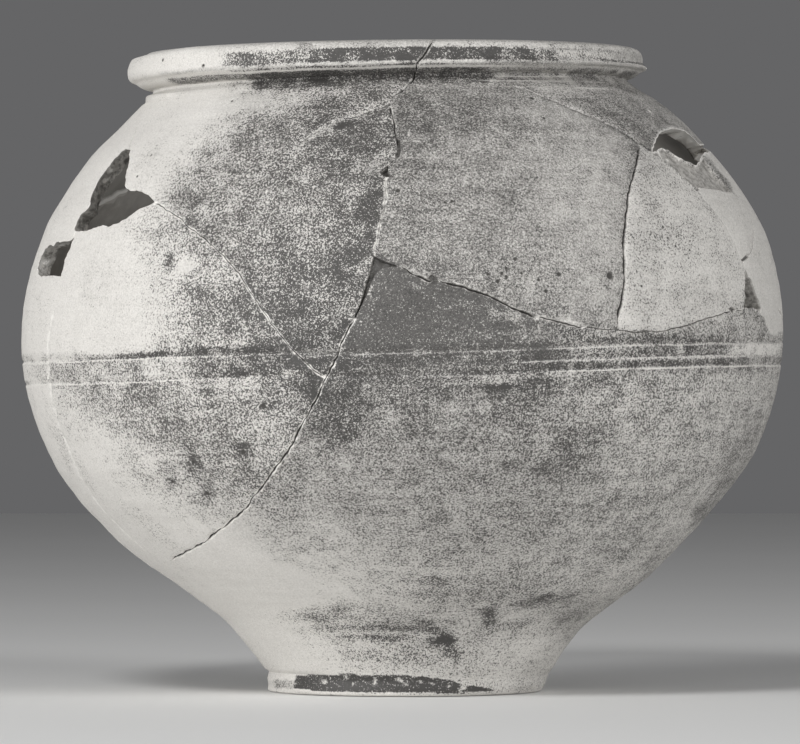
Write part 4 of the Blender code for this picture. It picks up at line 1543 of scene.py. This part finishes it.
# Soft patches, added on: middle and radii in pixels, film, speckle and, for some, their slant
PATCHES_PX = (
    # Rim and neck
    (303, 47, 9, 7, 0.45, 0.05), (500, 62, 60, 6, 0.15, 0, 2), (575, 52, 60, 10, 0.18, 0.03, 3),
    # Sherds left of the main join
    (380, 580, 110, 60, -0.14, -0.05), (300, 600, 80, 44, -0.1, -0.14),
    (248, 560, 60, 30, -0.06, -0.14, 40), (341, 124, 9, 3.6, 0.5, 0.4, -10),
    (455, 592, 90, 60, -0.03, 0.02), (190, 73, 34, 8, -0.05, -0.1), (308, 255, 52, 90, 0.1, 0.1),
    (228, 118, 40, 26, -0.04, -0.16), (216, 226, 30, 18, -0.06, -0.16),
    (284, 685, 16, 5, 0.4, 0.25), (150, 528, 40, 9, 0.04, 0.12, 42),
    (128, 480, 30, 12, 0.02, 0.08, 50), (360, 138, 34, 20, 0.12, 0.2),
    (335, 112, 44, 18, 0.06, 0.1), (250, 100, 60, 16, 0, -0.34), (310, 96, 30, 12, 0, -0.14),
    (368, 168, 20, 14, 0.22, -0.35), (300, 200, 30, 26, 0, -0.12), (312, 226, 24, 20, 0, -0.1),
    (260, 130, 30, 22, 0.05, 0.08), (188, 200, 16, 14, 0.03, 0.14),
    (196, 228, 22, 16, 0.03, 0.12), (214, 238, 16, 12, 0.03, 0.12), (255, 300, 50, 26, 0.1, 0.1),
    (320, 330, 26, 30, 0.22, 0.06), (285, 345, 40, 14, 0.22, 0.16), (340, 296, 20, 20, 0, -0.06),
    (370, 206, 14, 26, 0.24, 0.18), (350, 250, 26, 40, 0.06, 0.06), (186, 266, 10, 9, 0, -0.4),
    (170, 262, 8, 9, 0.06, 0.4), (190, 292, 14, 20, 0, 0.16), (210, 330, 30, 18, 0, 0.04),
    (362, 240, 18, 26, 0.16, 0.14), (340, 285, 20, 26, 0.18, 0.12),
    (342, 336, 14, 12, 0.56, 0.32), (371, 204, 9, 16, 0.06, 0.06), (250, 325, 30, 16, 0.14, 0.12),
    (222, 308, 22, 18, 0.12, 0.14), (325, 160, 52, 14, 0.05, 0.12), (312, 138, 14, 9, 0.2, 0.16),
    (340, 137, 18, 9, 0.1, 0.04), (318, 104, 24, 12, 0.06, 0.04), (322, 120, 22, 10, 0.1, 0.12),
    (125, 290, 60, 70, 0.07, 0.02), (165, 175, 24, 40, 0.08, 0.03), (285, 314, 38, 12, 0.12, 0.1),
    (372, 182, 12, 42, 0.08, 0.08), (168, 272, 40, 18, 0.04, 0.09), (322, 272, 28, 14, 0.1, 0.12),
    (232, 180, 32, 34, -0.05, -0.13), (250, 246, 16, 14, -0.04, -0.12),
    (274, 112, 26, 26, -0.04, -0.11),
    # Centre sherd
    (430, 138, 16, 14, 0.14, 0.06), (440, 268, 60, 9, 0.14, 0.04, 14),
    (440, 120, 46, 26, 0.12, 0.16), (410, 110, 24, 26, 0.12, 0.12), (405, 168, 20, 34, 0.1, 0.08),
    (404, 225, 24, 26, 0.05, 0.03), (590, 230, 70, 90, -0.14, -0.02),
    (560, 130, 60, 30, 0.03, -0.02), (440, 262, 44, 10, 0, -0.06, 12),
    (470, 245, 70, 14, 0.02, -0.05, 8), (520, 290, 30, 14, -0.12, 0),
    (570, 150, 70, 66, -0.16, -0.03), (556, 114, 44, 14, -0.14, -0.05, 10),
    (606, 230, 22, 84, -0.09, 0), (535, 334, 26, 7, -0.45, -0.05),
    (530, 622, 34, 14, -0.1, -0.08), (536, 646, 34, 14, -0.12, -0.06),
    (300, 358, 44, 7, 0.3, 0.2), (608, 142, 18, 12, -0.12, -0.12, 20),
    (458, 138, 22, 10, -0.1, -0.04), (592, 290, 30, 24, -0.12, -0.03),
    # Right shoulder
    (605, 106, 44, 12, 0.1, 0.16, 20), (626, 124, 30, 10, 0.12, 0.18, 26),
    (690, 124, 26, 16, -0.1, -0.1, 40), (560, 88, 40, 8, -0.22, -0.06, 12),
    # The flaked skin's edge with a painted shadow along it, and the lighter lumps below the gap
    (719, 173, 24, 3, 0.45, 0.5, 52), (676, 158, 24, 4.5, -0.1, -0.06, 28),
    # Right sherd
    (645, 240, 20, 95, 0.17, 0.05), (690, 300, 34, 22, 0.1, 0.03), (650, 160, 24, 22, 0.16, 0.04),
    (672, 236, 26, 16, 0.04, 0.12), (720, 280, 40, 40, -0.06, -0.02),
    (735, 318, 26, 8, -0.1, -0.06), (732, 380, 20, 20, -0.08, -0.1),
    # Below the right join
    (400, 310, 34, 26, 0.14, 0.1), (450, 305, 40, 20, 0.1, 0.05, 18),
    (520, 335, 40, 12, -0.25, 0.05), (503, 315, 28, 9, -0.85, -0.05, 14),
    (572, 334, 22, 9, 0.2, 0.2), (600, 318, 40, 8, -0.1, 0), (420, 345, 70, 8, -0.12, 0.05),
    (655, 340, 60, 6, 0.12, 0.1),
    # Lower body, left of the main join
    (150, 396, 34, 40, 0.02, 0.12), (190, 440, 46, 24, 0.06, 0.1),
    (262, 376, 40, 14, 0.02, -0.02), (268, 405, 11, 9, 0.22, 0.3), (242, 450, 14, 9, 0.22, 0.34),
    (192, 462, 9, 9, 0.2, 0.34), (208, 492, 9, 10, 0.2, 0.3), (172, 483, 7, 7, 0.15, 0.3),
    (210, 400, 14, 12, 0.1, 0.16), (280, 385, 24, 16, 0.22, 0.2), (308, 378, 22, 16, 0.4, 0.08),
    (220, 470, 40, 20, 0.04, 0.06), (250, 480, 20, 16, 0, 0.1), (230, 520, 40, 20, 0, -0.16, 30),
    (70, 400, 30, 40, 0.05, 0.1), (236, 360, 34, 8, 0.06, 0.06), (283, 402, 14, 12, 0.16, 0.12),
    (62, 446, 5, 36, 0.02, 0.1, -22), (84, 470, 4, 34, 0.02, 0.12, -30),
    (158, 452, 20, 18, -0.06, -0.22), (194, 488, 16, 10, 0, -0.12),
    # Lower body, right of the main join
    (494, 380, 24, 12, 0.42, 0.28), (402, 434, 20, 16, 0.1, 0.05), (368, 378, 24, 10, 0.14, 0.05),
    (520, 378, 60, 9, 0.18, 0.12), (590, 380, 28, 10, 0.28, 0.2), (520, 358, 20, 7, 0.2, 0.1),
    (352, 428, 26, 22, 0.12, 0.1), (400, 440, 60, 40, 0.06, 0.03), (372, 502, 50, 30, 0.09, 0.03),
    # (703, 514) is painted shade: a dark stripe along the right outline below the belly
    (703, 514, 9, 17, 0.55, 0, 38), (652, 574, 10, 14, 0.18, 0, 40),
    (332, 406, 34, 40, 0.3, 0.34), (352, 432, 20, 14, 0.14, 0.2), (330, 380, 24, 14, 0.2, 0.06),
    (430, 376, 120, 30, 0.32, 0.07), (298, 337, 32, 15, 0.34, 0.06),
    (432, 643, 9, 6, 0.2, 0.3, 30), (375, 390, 40, 30, 0.06, 0.06), (450, 440, 120, 60, 0, 0.02),
    (530, 385, 40, 20, 0.16, 0.22), (520, 420, 46, 40, 0.06, 0.1), (580, 436, 34, 20, 0.04, 0.16),
    (548, 462, 50, 20, 0.04, 0.1), (600, 395, 40, 18, -0.1, 0), (680, 400, 90, 40, -0.05, 0.05),
    # (737, 470) is painted shade along the right outline below the belly
    (690, 470, 60, 50, -0.04, 0), (737, 470, 18, 60, 0.34, 0, 20), (560, 520, 90, 30, 0.02, 0.06),
    (640, 560, 40, 40, 0.08, 0.08, -30), (450, 560, 60, 50, 0.02, 0.06),
    (340, 520, 60, 60, -0.02, -0.02), (280, 490, 30, 24, 0, 0.14, -40),
    (310, 470, 30, 20, -0.04, 0.02), (480, 500, 70, 30, 0, 0.04), (620, 500, 40, 20, 0, 0.05),
    (402, 404, 20, 12, 0.12, 0.08), (428, 424, 24, 14, 0.12, 0.06),
    # Stains above the foot
    (380, 628, 60, 4, 0.28, 0.5, 1), (380, 637, 52, 3, 0.12, 0.4, 1),
    (312, 616, 30, 7, 0.06, 0.24, 4), (440, 634, 20, 7, 0.34, 0.44, 30),
    (450, 650, 14, 8, 0.3, 0.44, 48), (489, 616, 8, 14, 0.3, 0.44),
    (556, 597, 34, 6, 0.12, 0.26, -8), (530, 602, 24, 8, 0.12, 0.2, -10),
    (512, 626, 24, 5, 0.1, 0.28, -10), (415, 644, 34, 8, 0.12, 0.14),
    (415, 664, 30, 9, 0.14, 0.12), (400, 622, 34, 9, 0.14, 0.1), (490, 618, 8, 12, 0.1, 0.1),
    (270, 612, 30, 16, 0, 0.1, 20), (246, 580, 44, 14, 0, 0.06, 30), (318, 634, 24, 16, 0, 0.1),
    (385, 656, 46, 8, 0.04, 0.26), (434, 590, 16, 20, 0.12, 0.24), (500, 590, 60, 20, 0.05, 0.1),
    (575, 612, 26, 10, 0.08, 0.16, -20), (350, 612, 46, 10, 0.06, 0.22),
    (470, 664, 16, 8, 0.05, 0.1, -40),
)
# Pale filler smeared on by the mender, and pale chips: middle, radii, slant, how pale
FILLER_PX = (
    (352, 114, 22, 4.2, -18, 0.16), (330, 124, 18, 4.6, -24, 0.18), (316, 134, 16, 5, -30, 0.2),
    (374, 106, 12, 3.2, -24, 0.14), (298, 150, 11, 7, -30, 0.2), (545, 319, 14, 2.6, 8, 0.3),
    (572, 322, 16, 2.4, 12, 0.28), (420, 274, 10, 1.8, 24, 0.2), (325, 682, 3.6, 3.4, 20, 0.45),
    (347, 678, 2.4, 4, -20, 0.45), (375, 682, 2.4, 5, 8, 0.45), (400, 680, 4.4, 3, 30, 0.45),
    (406, 684, 4, 2, -20, 0.4), (390, 693, 5, 2, 0, 0.5), (420, 682, 5, 1.8, 10, 0.4),
    (434, 684, 3, 1.6, 0, 0.4), (450, 686, 3, 1.4, 0, 0.4), (354, 684, 2.4, 2, 0, 0.4),
    (338, 685, 4, 1.4, 30, 0.3), (262, 79, 7, 3, -6, 0.12), (414, 286, 12, 1.2, 36, 0.28),
    (429, 298, 12, 1.2, 40, 0.28), (459, 309, 9, 1.2, 18, 0.24), (650.6, 109, 1.4, 1.4, 0, 1),
    (662.5, 153.8, 2.8, 2.4, 0, 0.5), (669.4, 158.4, 3.2, 2.6, 0, 0.6),
    (680, 162, 3, 2.4, 20, 0.4),
)


# Where a patch starts to fade and over how much, in its radii
PATCH_EDGE = (0.35, 0.95)
# Over how much a band fades at its lower and upper edge, and at its ends in degrees
BAND_EDGES = (0.4, 0.5)
BAND_END = 5.0
# How far the lumps move a band's ends, in degrees, and its edges, in millimetres
BAND_WANDER = (3.0, 0.25)
LEAST_SPECKLE = 0.004
# The logistic curve of this steepness runs along the one of noise of unit spread
LOGISTIC = 1.702


def patch(pixels, middle_x, middle_y, radius_x, radius_y, ragged, slant_degrees=0.0):
    """A ragged patch in the photograph's frame: 1 in its middle, 0 from about 1.3 radii on."""
    angle = math.radians(slant_degrees)
    across = pixels[:, 0] - middle_x
    down = pixels[:, 1] - middle_y
    right = across * math.cos(angle) + down * math.sin(angle)
    low = down * math.cos(angle) - across * math.sin(angle)
    reach = np.hypot(right / radius_x, low / radius_y) + ragged
    return 1.0 - past(reach, *PATCH_EDGE)


def soft_band(rise, low, high, degrees, first, last):
    """A band around the jar with ragged ends: 1 within, 0 outside."""
    lower, upper = BAND_EDGES
    up = smooth_share((rise - low) / lower + 0.5) * smooth_share((high - rise) / upper + 0.5)
    begun = smooth_share((degrees - first) / BAND_END + 0.5)
    return up * begun * smooth_share((last - degrees) / BAND_END + 0.5)


def speckle_level(share):
    """The level at which noise of unit spread covers this share of a surface."""
    share = np.clip(share, LEAST_SPECKLE, 1.0 - LEAST_SPECKLE)
    return np.log(share / (1.0 - share)) / LOGISTIC


def front_slip(pixels, rim, lumps, ragged):
    """Film and speckle at the front: the lower body, then the sherds and the patches."""
    across, down = pixels.T
    join = np.interp(down, *np.array(LOWER_JOIN_PX, float).T)
    right = smooth_share((across - join) / JOIN_BLEND_PX + 0.5) * (down > LOWER_BODY_TOP_PX)
    spread = np.clip((across - SPREAD_PX[0]) / SPREAD_PX[1], 0.0, 1.0)
    less = past(down, *LOW_BODY_PX) * (LOW_BODY_LESS[0] + LOW_BODY_LESS[1] * (1.0 - spread))
    film = LOWER_LEFT[0] + right * (LOWER_RIGHT[0] - less)
    grainy = right * past(across, *GRAINY_PX) * (1.0 - past(down, *GRAINY_END_PX))
    film += GRAINY[0] * grainy
    for axis, start, width, less in LOWER_WEAR_PX:
        film -= right * less * past(pixels[:, axis], start, width)
    speckle = LOWER_LEFT[1] + GRAINY[1] * grainy + LOWER_RIGHT[1] * right
    speckle -= LOW_SPECKLE_LESS * right * past(down, *LOW_SPECKLE_PX)
    for outline, sherd_film, sherd_speckle in SHERDS_PX:
        there = within(pixels, np.array(outline, float))
        film[there] = sherd_film
        speckle[there] = sherd_speckle
    thinning = there * past(across + EDGE_WANDER_PX * lumps, *THINNING_PX)
    film += (THINNED[0] - film) * thinning
    speckle += (THINNED[1] - speckle) * thinning
    film[rim] = RIM_FILM[0] + RIM_FILM[1] * past(across[rim], *RIM_FILM_PX)
    speckle[rim] = RIM_SPECKLE
    bare_to = np.interp(down, *np.array(BARE_EDGE_PX, float).T) + EDGE_WANDER_PX * lumps
    kept = smooth_share((across - bare_to) / (2.0 * BARE_FADE) + 0.5)
    film *= kept
    speckle = BARE_SPECKLE + (speckle - BARE_SPECKLE) * kept
    for x, y, radius_x, radius_y, more_film, more_speckle, *slant_degrees in PATCHES_PX:
        share = patch(pixels, x, y, radius_x, radius_y, ragged, *slant_degrees)
        film += more_film * share
        speckle += more_speckle * share
    foot_band = within(pixels, np.array(FOOT_BAND_PX, float)) & (lumps < FOOT_BAND_LUMPS)
    film[foot_band], speckle[foot_band] = FOOT_BAND
    return film, speckle


def lay_bands(places, space, lumps, film, speckle):
    """Lay the bands over film and speckle; how pale their worn clay is comes back."""
    along, turn = places.T
    ends_by, edges_by = BAND_WANDER
    degrees = np.degrees(turn) + ends_by * lumps
    above = along - groove_rise(turn)
    bands = [(height_at(along), *band) for band in BANDS]
    for level, rows in GROOVE_BANDS.items():
        bands += [(above - along_at_height(level), *band) for band in rows]
    blotches = cloud(space, *BLOTCH_LUMPS)
    film_blotches, speckle_blotches = BLOTCHES
    pale = np.zeros(len(along))
    for rise, low, high, first, last, *marks in bands:
        share = soft_band(rise + edges_by * lumps, low, high, degrees, first, last)
        if len(marks) == 1:
            pale = np.maximum(pale, marks[0] * share)
            bared = share * min(1.0, BARED * marks[0])
            film *= 1.0 - bared
            speckle *= 1.0 - bared
        else:
            band_film, band_speckle = marks
            film += (band_film * (1.0 + film_blotches * blotches) - film) * share
            speckle += (band_speckle + speckle_blotches * blotches - speckle) * share
    return pale


def paint(places, space, values):
    """Lay what is left of the slip over the outside."""
    along, turn = places.T
    outside = along <= OUTSIDE_END
    pixels = to_photo(settled(space))
    rim = height_at(along) > RIM_FROM
    lumps = cloud(space, *SLIP_LUMPS)
    ragged = RAGGED * cloud(space, *RAGGED_LUMPS)
    film, speckle = front_slip(pixels, rim, lumps, ragged)
    # The back has the same slip, laid on by chance
    front = 1.0 - past(np.abs(np.degrees(turn)), *FRONT_END)
    worn = smooth_share(0.5 + BACK_WORN * cloud(space, *BACK_LUMPS))
    rim_film, rim_speckle = BACK_RIM
    back_film = np.where(rim, rim_film, BACK_FILM[0] + BACK_FILM[1] * worn)
    least, by_wear, by_lumps = BACK_SPECKLE
    back_speckle = np.where(rim, rim_speckle, least + by_wear * worn + by_lumps * lumps)
    film = back_film + (film - back_film) * front + 0.05 * lumps * (film > 0.03)
    film = np.clip(film, 0.0, MOST_FILM)
    speckle = back_speckle + (speckle + 0.04 * lumps - back_speckle) * front
    speckle = np.clip(speckle, 0.0, MOST_SPECKLE)
    pale = lay_bands(places, space, lumps, film, speckle)
    for x, y, radius_x, radius_y, slant_degrees, strength in FILLER_PX:
        share = patch(pixels, x, y, radius_x, radius_y, 0.5 * ragged, slant_degrees)
        share *= front > 0.5
        cover = share * min(1.0, FILLER_COVER[0] + FILLER_COVER[1] * strength)
        pale = np.maximum(pale, strength * share)
        film *= 1.0 - cover
        speckle *= 1.0 - cover
    values["film"] = np.where(outside, film, 0.0)
    values["slip"] = np.where(outside, speckle_level(speckle), NO_SLIP)
    values["pale"] = np.maximum(values["pale"], np.where(outside, pale, 0.0))


def build_mesh():
    """Lay out the points, join them up, and raise them to their relief."""
    hubs = lay_out()
    flat = np.array(layout.flat)
    verts, _, faces, from_verts, _, _ = delaunay_2d_cdt(
        [Vector(p) for p in flat], layout.edges, [], 0, SAME, True)
    out = np.array([tuple(v) for v in verts])
    place_of = {}
    for index, sources in enumerate(from_verts):
        for source in sources:
            place_of[source] = index
        if sources:
            out[index] = flat[sources[0]]
    faces = np.array([tuple(f) for f in faces])
    middles = out[faces].mean(axis=1)
    keep = np.ones(len(faces), bool)
    for broken in breaks.values():
        keep &= ~within(middles, broken["edge"])
        keep &= ~within(middles, broken["inner"])
    faces = faces[keep]
    surface = shape_surface(out)
    points = list(map(tuple, thrown(*surface.places.T, surface.relief)))
    columns_of = {name: list(array) for name, array in surface.values.items()}
    triangles = list(map(tuple, faces))

    def new_point(point, **marks):
        points.append(tuple(point))
        for name, column in columns_of.items():
            column.append(marks.get(name, NO_SLIP if name == "slip" else 0.0))
        return len(points) - 1

    for seed, (name, broken) in enumerate(breaks.items()):
        outer = [place_of[i] for i in broken["ids"]]
        inner = [place_of[i] for i in broken["inner_ids"]]
        pale, face_darkening, _, _ = BREAK_SHAPE[name]
        bridge(outer, inner, points, triangles, new_point, seed, pale, face_darkening)
        for index in inner:
            columns_of["raw"][index] = 1.0
    for hub, height in zip(hubs, (0.0, FLOOR)):
        ring = [place_of[i] for i in hub][:-1]
        middle = new_point((0.0, 0.0, height), inside=1.0 if height else 0.0)
        for a, b in zip(ring, ring[1:] + ring[:1]):
            triangles.append((b, a, middle) if height == 0.0 else (a, b, middle))
    return points, triangles, columns_of, out


FACE_ROWS = 6
FACE_ROUGH = ((0.45, 1.7, 90), (0.4, 4.5, 95))
FACE_STREAKS = (0.9, 1.8, 99)


def bridge(outer, inner, points, triangles, new_point, seed, pale, face_darkening):
    """The rough face of a break, from its outer edge through the wall to its inner edge."""
    previous = outer
    count = len(outer)
    outer_points = np.array([points[i] for i in outer])
    inner_points = np.array([points[i] for i in inner])
    middle = outer_points.mean(axis=0)
    for step in range(1, FACE_ROWS + 1):
        share = step / FACE_ROWS
        if step == FACE_ROWS:
            row = inner
        else:
            line = outer_points * (1.0 - share) + inner_points * share
            inward = middle - line
            inward /= np.linalg.norm(inward, axis=1)[:, None]
            rough = uneven(line, [(a, size, first + seed) for a, size, first in FACE_ROUGH])
            line = line + inward * (rough * math.sin(math.pi * share))[:, None]
            amount, size, first = FACE_STREAKS
            streaks = np.clip(0.75 + amount * cloud(line, size, first + seed), 0.0, 1.0)
            # Each face takes its paleness, partly painted light, and its darkening from
            # BREAK_SHAPE
            row = [new_point(p, raw=1.0, pale=pale * s, gap=face_darkening) for p, s in zip(line, streaks)]
        for k in range(count):
            a, b = previous[k], previous[(k + 1) % count]
            c, d = row[(k + 1) % count], row[k]
            triangles.extend(((a, b, d), (b, c, d)))
        previous = row


SHARP_ANGLE = math.radians(55)


def make_jar():
    points, triangles, columns_of, out = build_mesh()
    space = settled(np.array(points)) * MM
    seam_left = {}
    merged = list(range(len(points)))
    for index, (turn, even) in enumerate(out):
        if abs(turn + math.pi) < SAME:
            seam_left[round(even, 5)] = index
    for index, (turn, even) in enumerate(out):
        if abs(turn - math.pi) < SAME:
            merged[index] = seam_left[round(even, 5)]
    used = sorted(set(merged[i] for t in triangles for i in t))
    number = {old: new for new, old in enumerate(used)}
    faces = [tuple(number[merged[i]] for i in t) for t in triangles]
    faces = [f for f in faces if len(set(f)) == 3]
    mesh = bpy.data.meshes.new("mended_jar")
    mesh.from_pydata([tuple(space[i]) for i in used], [], faces)
    for name, column in columns_of.items():
        layer = mesh.attributes.new(name, "FLOAT", "POINT")
        layer.data.foreach_set("value", np.array(column, np.float32)[used])
    mesh.shade_smooth()
    mesh.set_sharp_from_angle(angle=SHARP_ANGLE)
    jar = bpy.data.objects.new("mended_jar", mesh)
    bpy.context.scene.collection.objects.link(jar)
    return jar


# The clay


class Nodes:
    """Short ways to add and link a material's nodes."""

    def __init__(self, material):
        self.tree = material.node_tree

    def add(self, kind):
        return self.tree.nodes.new(kind)

    def link(self, source, target):
        self.tree.links.new(source, target)

    def put(self, node, index, value):
        if hasattr(value, "is_output"):
            self.link(value, node.inputs[index])
        else:
            node.inputs[index].default_value = value

    def math(self, operation, first, second, clamp=False):
        node = self.add("ShaderNodeMath")
        node.operation = operation
        node.use_clamp = clamp
        self.put(node, 0, first)
        self.put(node, 1, second)
        return node.outputs[0]

    def plus(self, first, second):
        return self.math("ADD", first, second)

    def times(self, first, second, clamp=False):
        return self.math("MULTIPLY", first, second, clamp)

    def weigh(self, *parts):
        """The sum of clouds around 0, each times its weight."""
        total = None
        for source, weight in parts:
            part = self.times(self.math("SUBTRACT", source, 0.5), weight)
            total = part if total is None else self.plus(total, part)
        return total

    def value(self, name):
        node = self.add("ShaderNodeAttribute")
        node.attribute_name = name
        return node.outputs["Fac"]

    def cloud(self, where, size, detail, roughness):
        """Noise with lumps of this size in millimetres, about 0 to 1."""
        node = self.add("ShaderNodeTexNoise")
        node.inputs["Scale"].default_value = 1.0 / (size * MM)
        node.inputs["Detail"].default_value = detail
        node.inputs["Roughness"].default_value = roughness
        self.link(where, node.inputs["Vector"])
        return node.outputs["Fac"]

    def ease(self, value, low, high):
        node = self.add("ShaderNodeMapRange")
        node.interpolation_type = "SMOOTHSTEP"
        self.put(node, 0, value)
        node.inputs[1].default_value = low
        node.inputs[2].default_value = high
        return node.outputs[0]

    def mix(self, share, first, second):
        node = self.add("ShaderNodeMix")
        node.data_type = "RGBA"
        self.put(node, 0, share)
        self.put(node, 6, first)
        self.put(node, 7, second)
        return node.outputs[2]


CLAY = (0.635, 0.616, 0.584, 1.0)
CLAY_WORN = (0.51, 0.492, 0.462, 1.0)
CLAY_PALE = (0.75, 0.73, 0.693, 1.0)
SLIP = (0.041, 0.0387, 0.0363, 1.0)
SLIP_FILM = (0.08, 0.0764, 0.0718, 1.0)
CORE = (0.27, 0.258, 0.237, 1.0)
CORE_LIGHT = (0.7, 0.674, 0.63, 1.0)
INNER_CLAY = (0.6, 0.58, 0.545, 1.0)
DIRT_AND_SHADE = (0.045, 0.042, 0.038, 1.0)

# Noise in the clay: size of its lumps in millimetres, detail and roughness
CLAY_NOISE = {"coarse": (9.0, 3.0, 0.6), "middle": (0.82, 2.0, 0.8), "fine": (0.42, 1.0, 0.6)}
STREAK_NOISE = (2.2, 3.0, 0.6)
STREAK_SQUEEZE = 0.07
GRIT_NOISE = (2.6, 2.0, 0.6)
# How the noise tints the bare clay: which, where it eases in, share and colour
CLAY_TINTS = (
    ("coarse", 0.4, 0.7, 0.3, CLAY_WORN), ("streaks", 0.5, 0.75, 0.3, CLAY_WORN),
    ("middle", 0.4, 0.62, 0.8, CLAY_WORN), ("fine", 0.46, 0.66, 0.6, CLAY_PALE),
)
GRAIN_WEIGHTS = (("middle", 8.8), ("fine", 3.8), ("coarse", 2.1), ("streaks", 1.4))
GRAIN_EDGE = 0.4
FILM_UNEVEN = 0.4
SLIP_COVER = 0.95
CLAY_ROUGHNESS = 0.86
SLIP_GLOSS = 0.22
BUMP_HEIGHTS = (("fine", 0.5), ("middle", 0.6), ("streaks", 0.8))
SLIP_SINK = -0.15
BUMP_STRENGTH = 0.5
BUMP_DISTANCE = 0.35 * MM


def clay_material():
    material = bpy.data.materials.new("worn_slipped_clay")
    material.use_nodes = True
    nodes = Nodes(material)
    shader = material.node_tree.nodes["Principled BSDF"]
    where = nodes.add("ShaderNodeTexCoord").outputs["Object"]
    turned = nodes.add("ShaderNodeMapping")
    turned.inputs["Rotation"].default_value = (0.0, LEAN, 0.0)
    turned.inputs["Scale"].default_value = (STREAK_SQUEEZE, STREAK_SQUEEZE, 1.0)
    nodes.link(where, turned.inputs["Vector"])
    noises = {name: nodes.cloud(where, *shape) for name, shape in CLAY_NOISE.items()}
    noises["streaks"] = nodes.cloud(turned.outputs[0], *STREAK_NOISE)
    colour = CLAY
    for name, low, high, share, tint in CLAY_TINTS:
        colour = nodes.mix(nodes.times(nodes.ease(noises[name], low, high), share), colour, tint)
    grain = nodes.weigh(*((noises[name], weight) for name, weight in GRAIN_WEIGHTS))
    film = nodes.plus(1.0, nodes.times(grain, FILM_UNEVEN))
    film = nodes.times(nodes.value("film"), film, clamp=True)
    colour = nodes.mix(film, colour, SLIP_FILM)
    speckle = nodes.ease(nodes.plus(nodes.value("slip"), grain), -GRAIN_EDGE, GRAIN_EDGE)
    colour = nodes.mix(nodes.times(speckle, SLIP_COVER), colour, SLIP)
    inner = nodes.mix(nodes.ease(noises["coarse"], 0.3, 0.7), INNER_CLAY, CLAY_WORN)
    colour = nodes.mix(nodes.value("inside"), colour, inner)
    grit = nodes.times(nodes.cloud(where, *GRIT_NOISE), 0.7)
    grit = nodes.plus(grit, nodes.times(noises["middle"], 0.3))
    core = nodes.mix(nodes.ease(grit, 0.38, 0.62), CORE, CORE_LIGHT)
    colour = nodes.mix(nodes.value("raw"), colour, core)
    pale = nodes.plus(nodes.value("pale"), nodes.weigh((noises["fine"], 0.7)))
    colour = nodes.mix(nodes.ease(pale, 0.25, 0.6), colour, CLAY_PALE)
    # The gap value darkens joins and pits, and paints shade into recesses, above the ledge and on
    # the far wall inside
    colour = nodes.mix(nodes.ease(nodes.value("gap"), 0.15, 0.8), colour, DIRT_AND_SHADE)
    nodes.link(colour, shader.inputs["Base Color"])
    gloss = nodes.times(nodes.math("MAXIMUM", speckle, nodes.value("film")), -SLIP_GLOSS)
    nodes.link(nodes.plus(CLAY_ROUGHNESS, gloss), shader.inputs["Roughness"])
    rise = nodes.times(speckle, SLIP_SINK)
    for name, height in BUMP_HEIGHTS:
        rise = nodes.plus(rise, nodes.times(noises[name], height))
    bump = nodes.add("ShaderNodeBump")
    bump.inputs["Strength"].default_value = BUMP_STRENGTH
    bump.inputs["Distance"].default_value = BUMP_DISTANCE
    nodes.link(rise, bump.inputs["Height"])
    nodes.link(bump.outputs[0], shader.inputs["Normal"])
    return material


# The studio, in metres
FLOOR_SIZE = 8.0
FLOOR_DROP = 0.0002
FLOOR_COLOURS = ((0.76, 0.76, 0.75, 1.0), (0.8, 0.8, 0.79, 1.0))
FLOOR_NOISE = (400.0, 1.0, 0.6)
FLOOR_ROUGHNESS = 0.7
WORLD_COLOUR = (0.13, 0.13, 0.133, 1.0)
# Soft lights: place, what each points at, size and watts
LIGHTS = {
    "key": ((-2.5, -1.75, 0.95), (0.0, 0.0, 0.15), 1.0, 45.0),
    "fill": ((2.45, -1.75, 1.1), (0.0, 0.0, 0.15), 1.2, 40.0),
    "top": ((-0.7, -1.85, 1.8), (0.0, 0.0, 0.2), 0.6, 23.0),
    "low_left": ((-2.2, -3.4, 0.2), (0.0, 0.0, 0.1), 0.6, 38.0),
    "low_right": ((1.8, -3.2, 0.12), (0.0, 0.0, 0.1), 0.5, 17.0),
}


def make_floor():
    bpy.ops.mesh.primitive_plane_add(size=FLOOR_SIZE, location=(0.0, 0.0, -FLOOR_DROP))
    floor = bpy.context.object
    floor.name = "studio_floor"
    material = bpy.data.materials.new("pale_floor")
    material.use_nodes = True
    nodes = Nodes(material)
    shader = material.node_tree.nodes["Principled BSDF"]
    where = nodes.add("ShaderNodeTexCoord").outputs["Object"]
    soft = nodes.cloud(where, *FLOOR_NOISE)
    nodes.link(nodes.mix(soft, *FLOOR_COLOURS), shader.inputs["Base Color"])
    shader.inputs["Roughness"].default_value = FLOOR_ROUGHNESS
    floor.data.materials.append(material)
    return floor


def add_light(name, location, target, size, power):
    light = bpy.data.lights.new(name, "AREA")
    light.shape = "DISK"
    light.size = size
    light.energy = power
    lamp = bpy.data.objects.new(name, light)
    lamp.location = location
    lamp.rotation_euler = (Vector(target) - Vector(location)).to_track_quat("-Z", "Y").to_euler()
    bpy.context.scene.collection.objects.link(lamp)


def make_studio():
    scene = bpy.context.scene
    world = bpy.data.worlds.new("studio")
    scene.world = world
    world.use_nodes = True
    background = world.node_tree.nodes["Background"]
    background.inputs["Color"].default_value = WORLD_COLOUR
    background.inputs["Strength"].default_value = 1.0
    scene.view_settings.view_transform = "Standard"
    for name, settings in LIGHTS.items():
        add_light(name, *settings)
    camera_data = bpy.data.cameras.new("camera")
    camera_data.sensor_width = SENSOR
    camera_data.lens = FOCAL_PX * SENSOR / PHOTO_WIDTH
    camera_data.clip_end = 50.0
    camera = bpy.data.objects.new("camera", camera_data)
    camera.location = CAMERA * MM
    tilt = math.atan((LEVEL_ROW - PHOTO_HEIGHT / 2) / FOCAL_PX)
    camera.rotation_euler = (math.radians(90) + tilt, 0.0, 0.0)
    scene.collection.objects.link(camera)
    scene.camera = camera


make_studio()
floor = make_floor()
jar = make_jar()
jar.data.materials.append(clay_material())
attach(jar, "root")
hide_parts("jar")
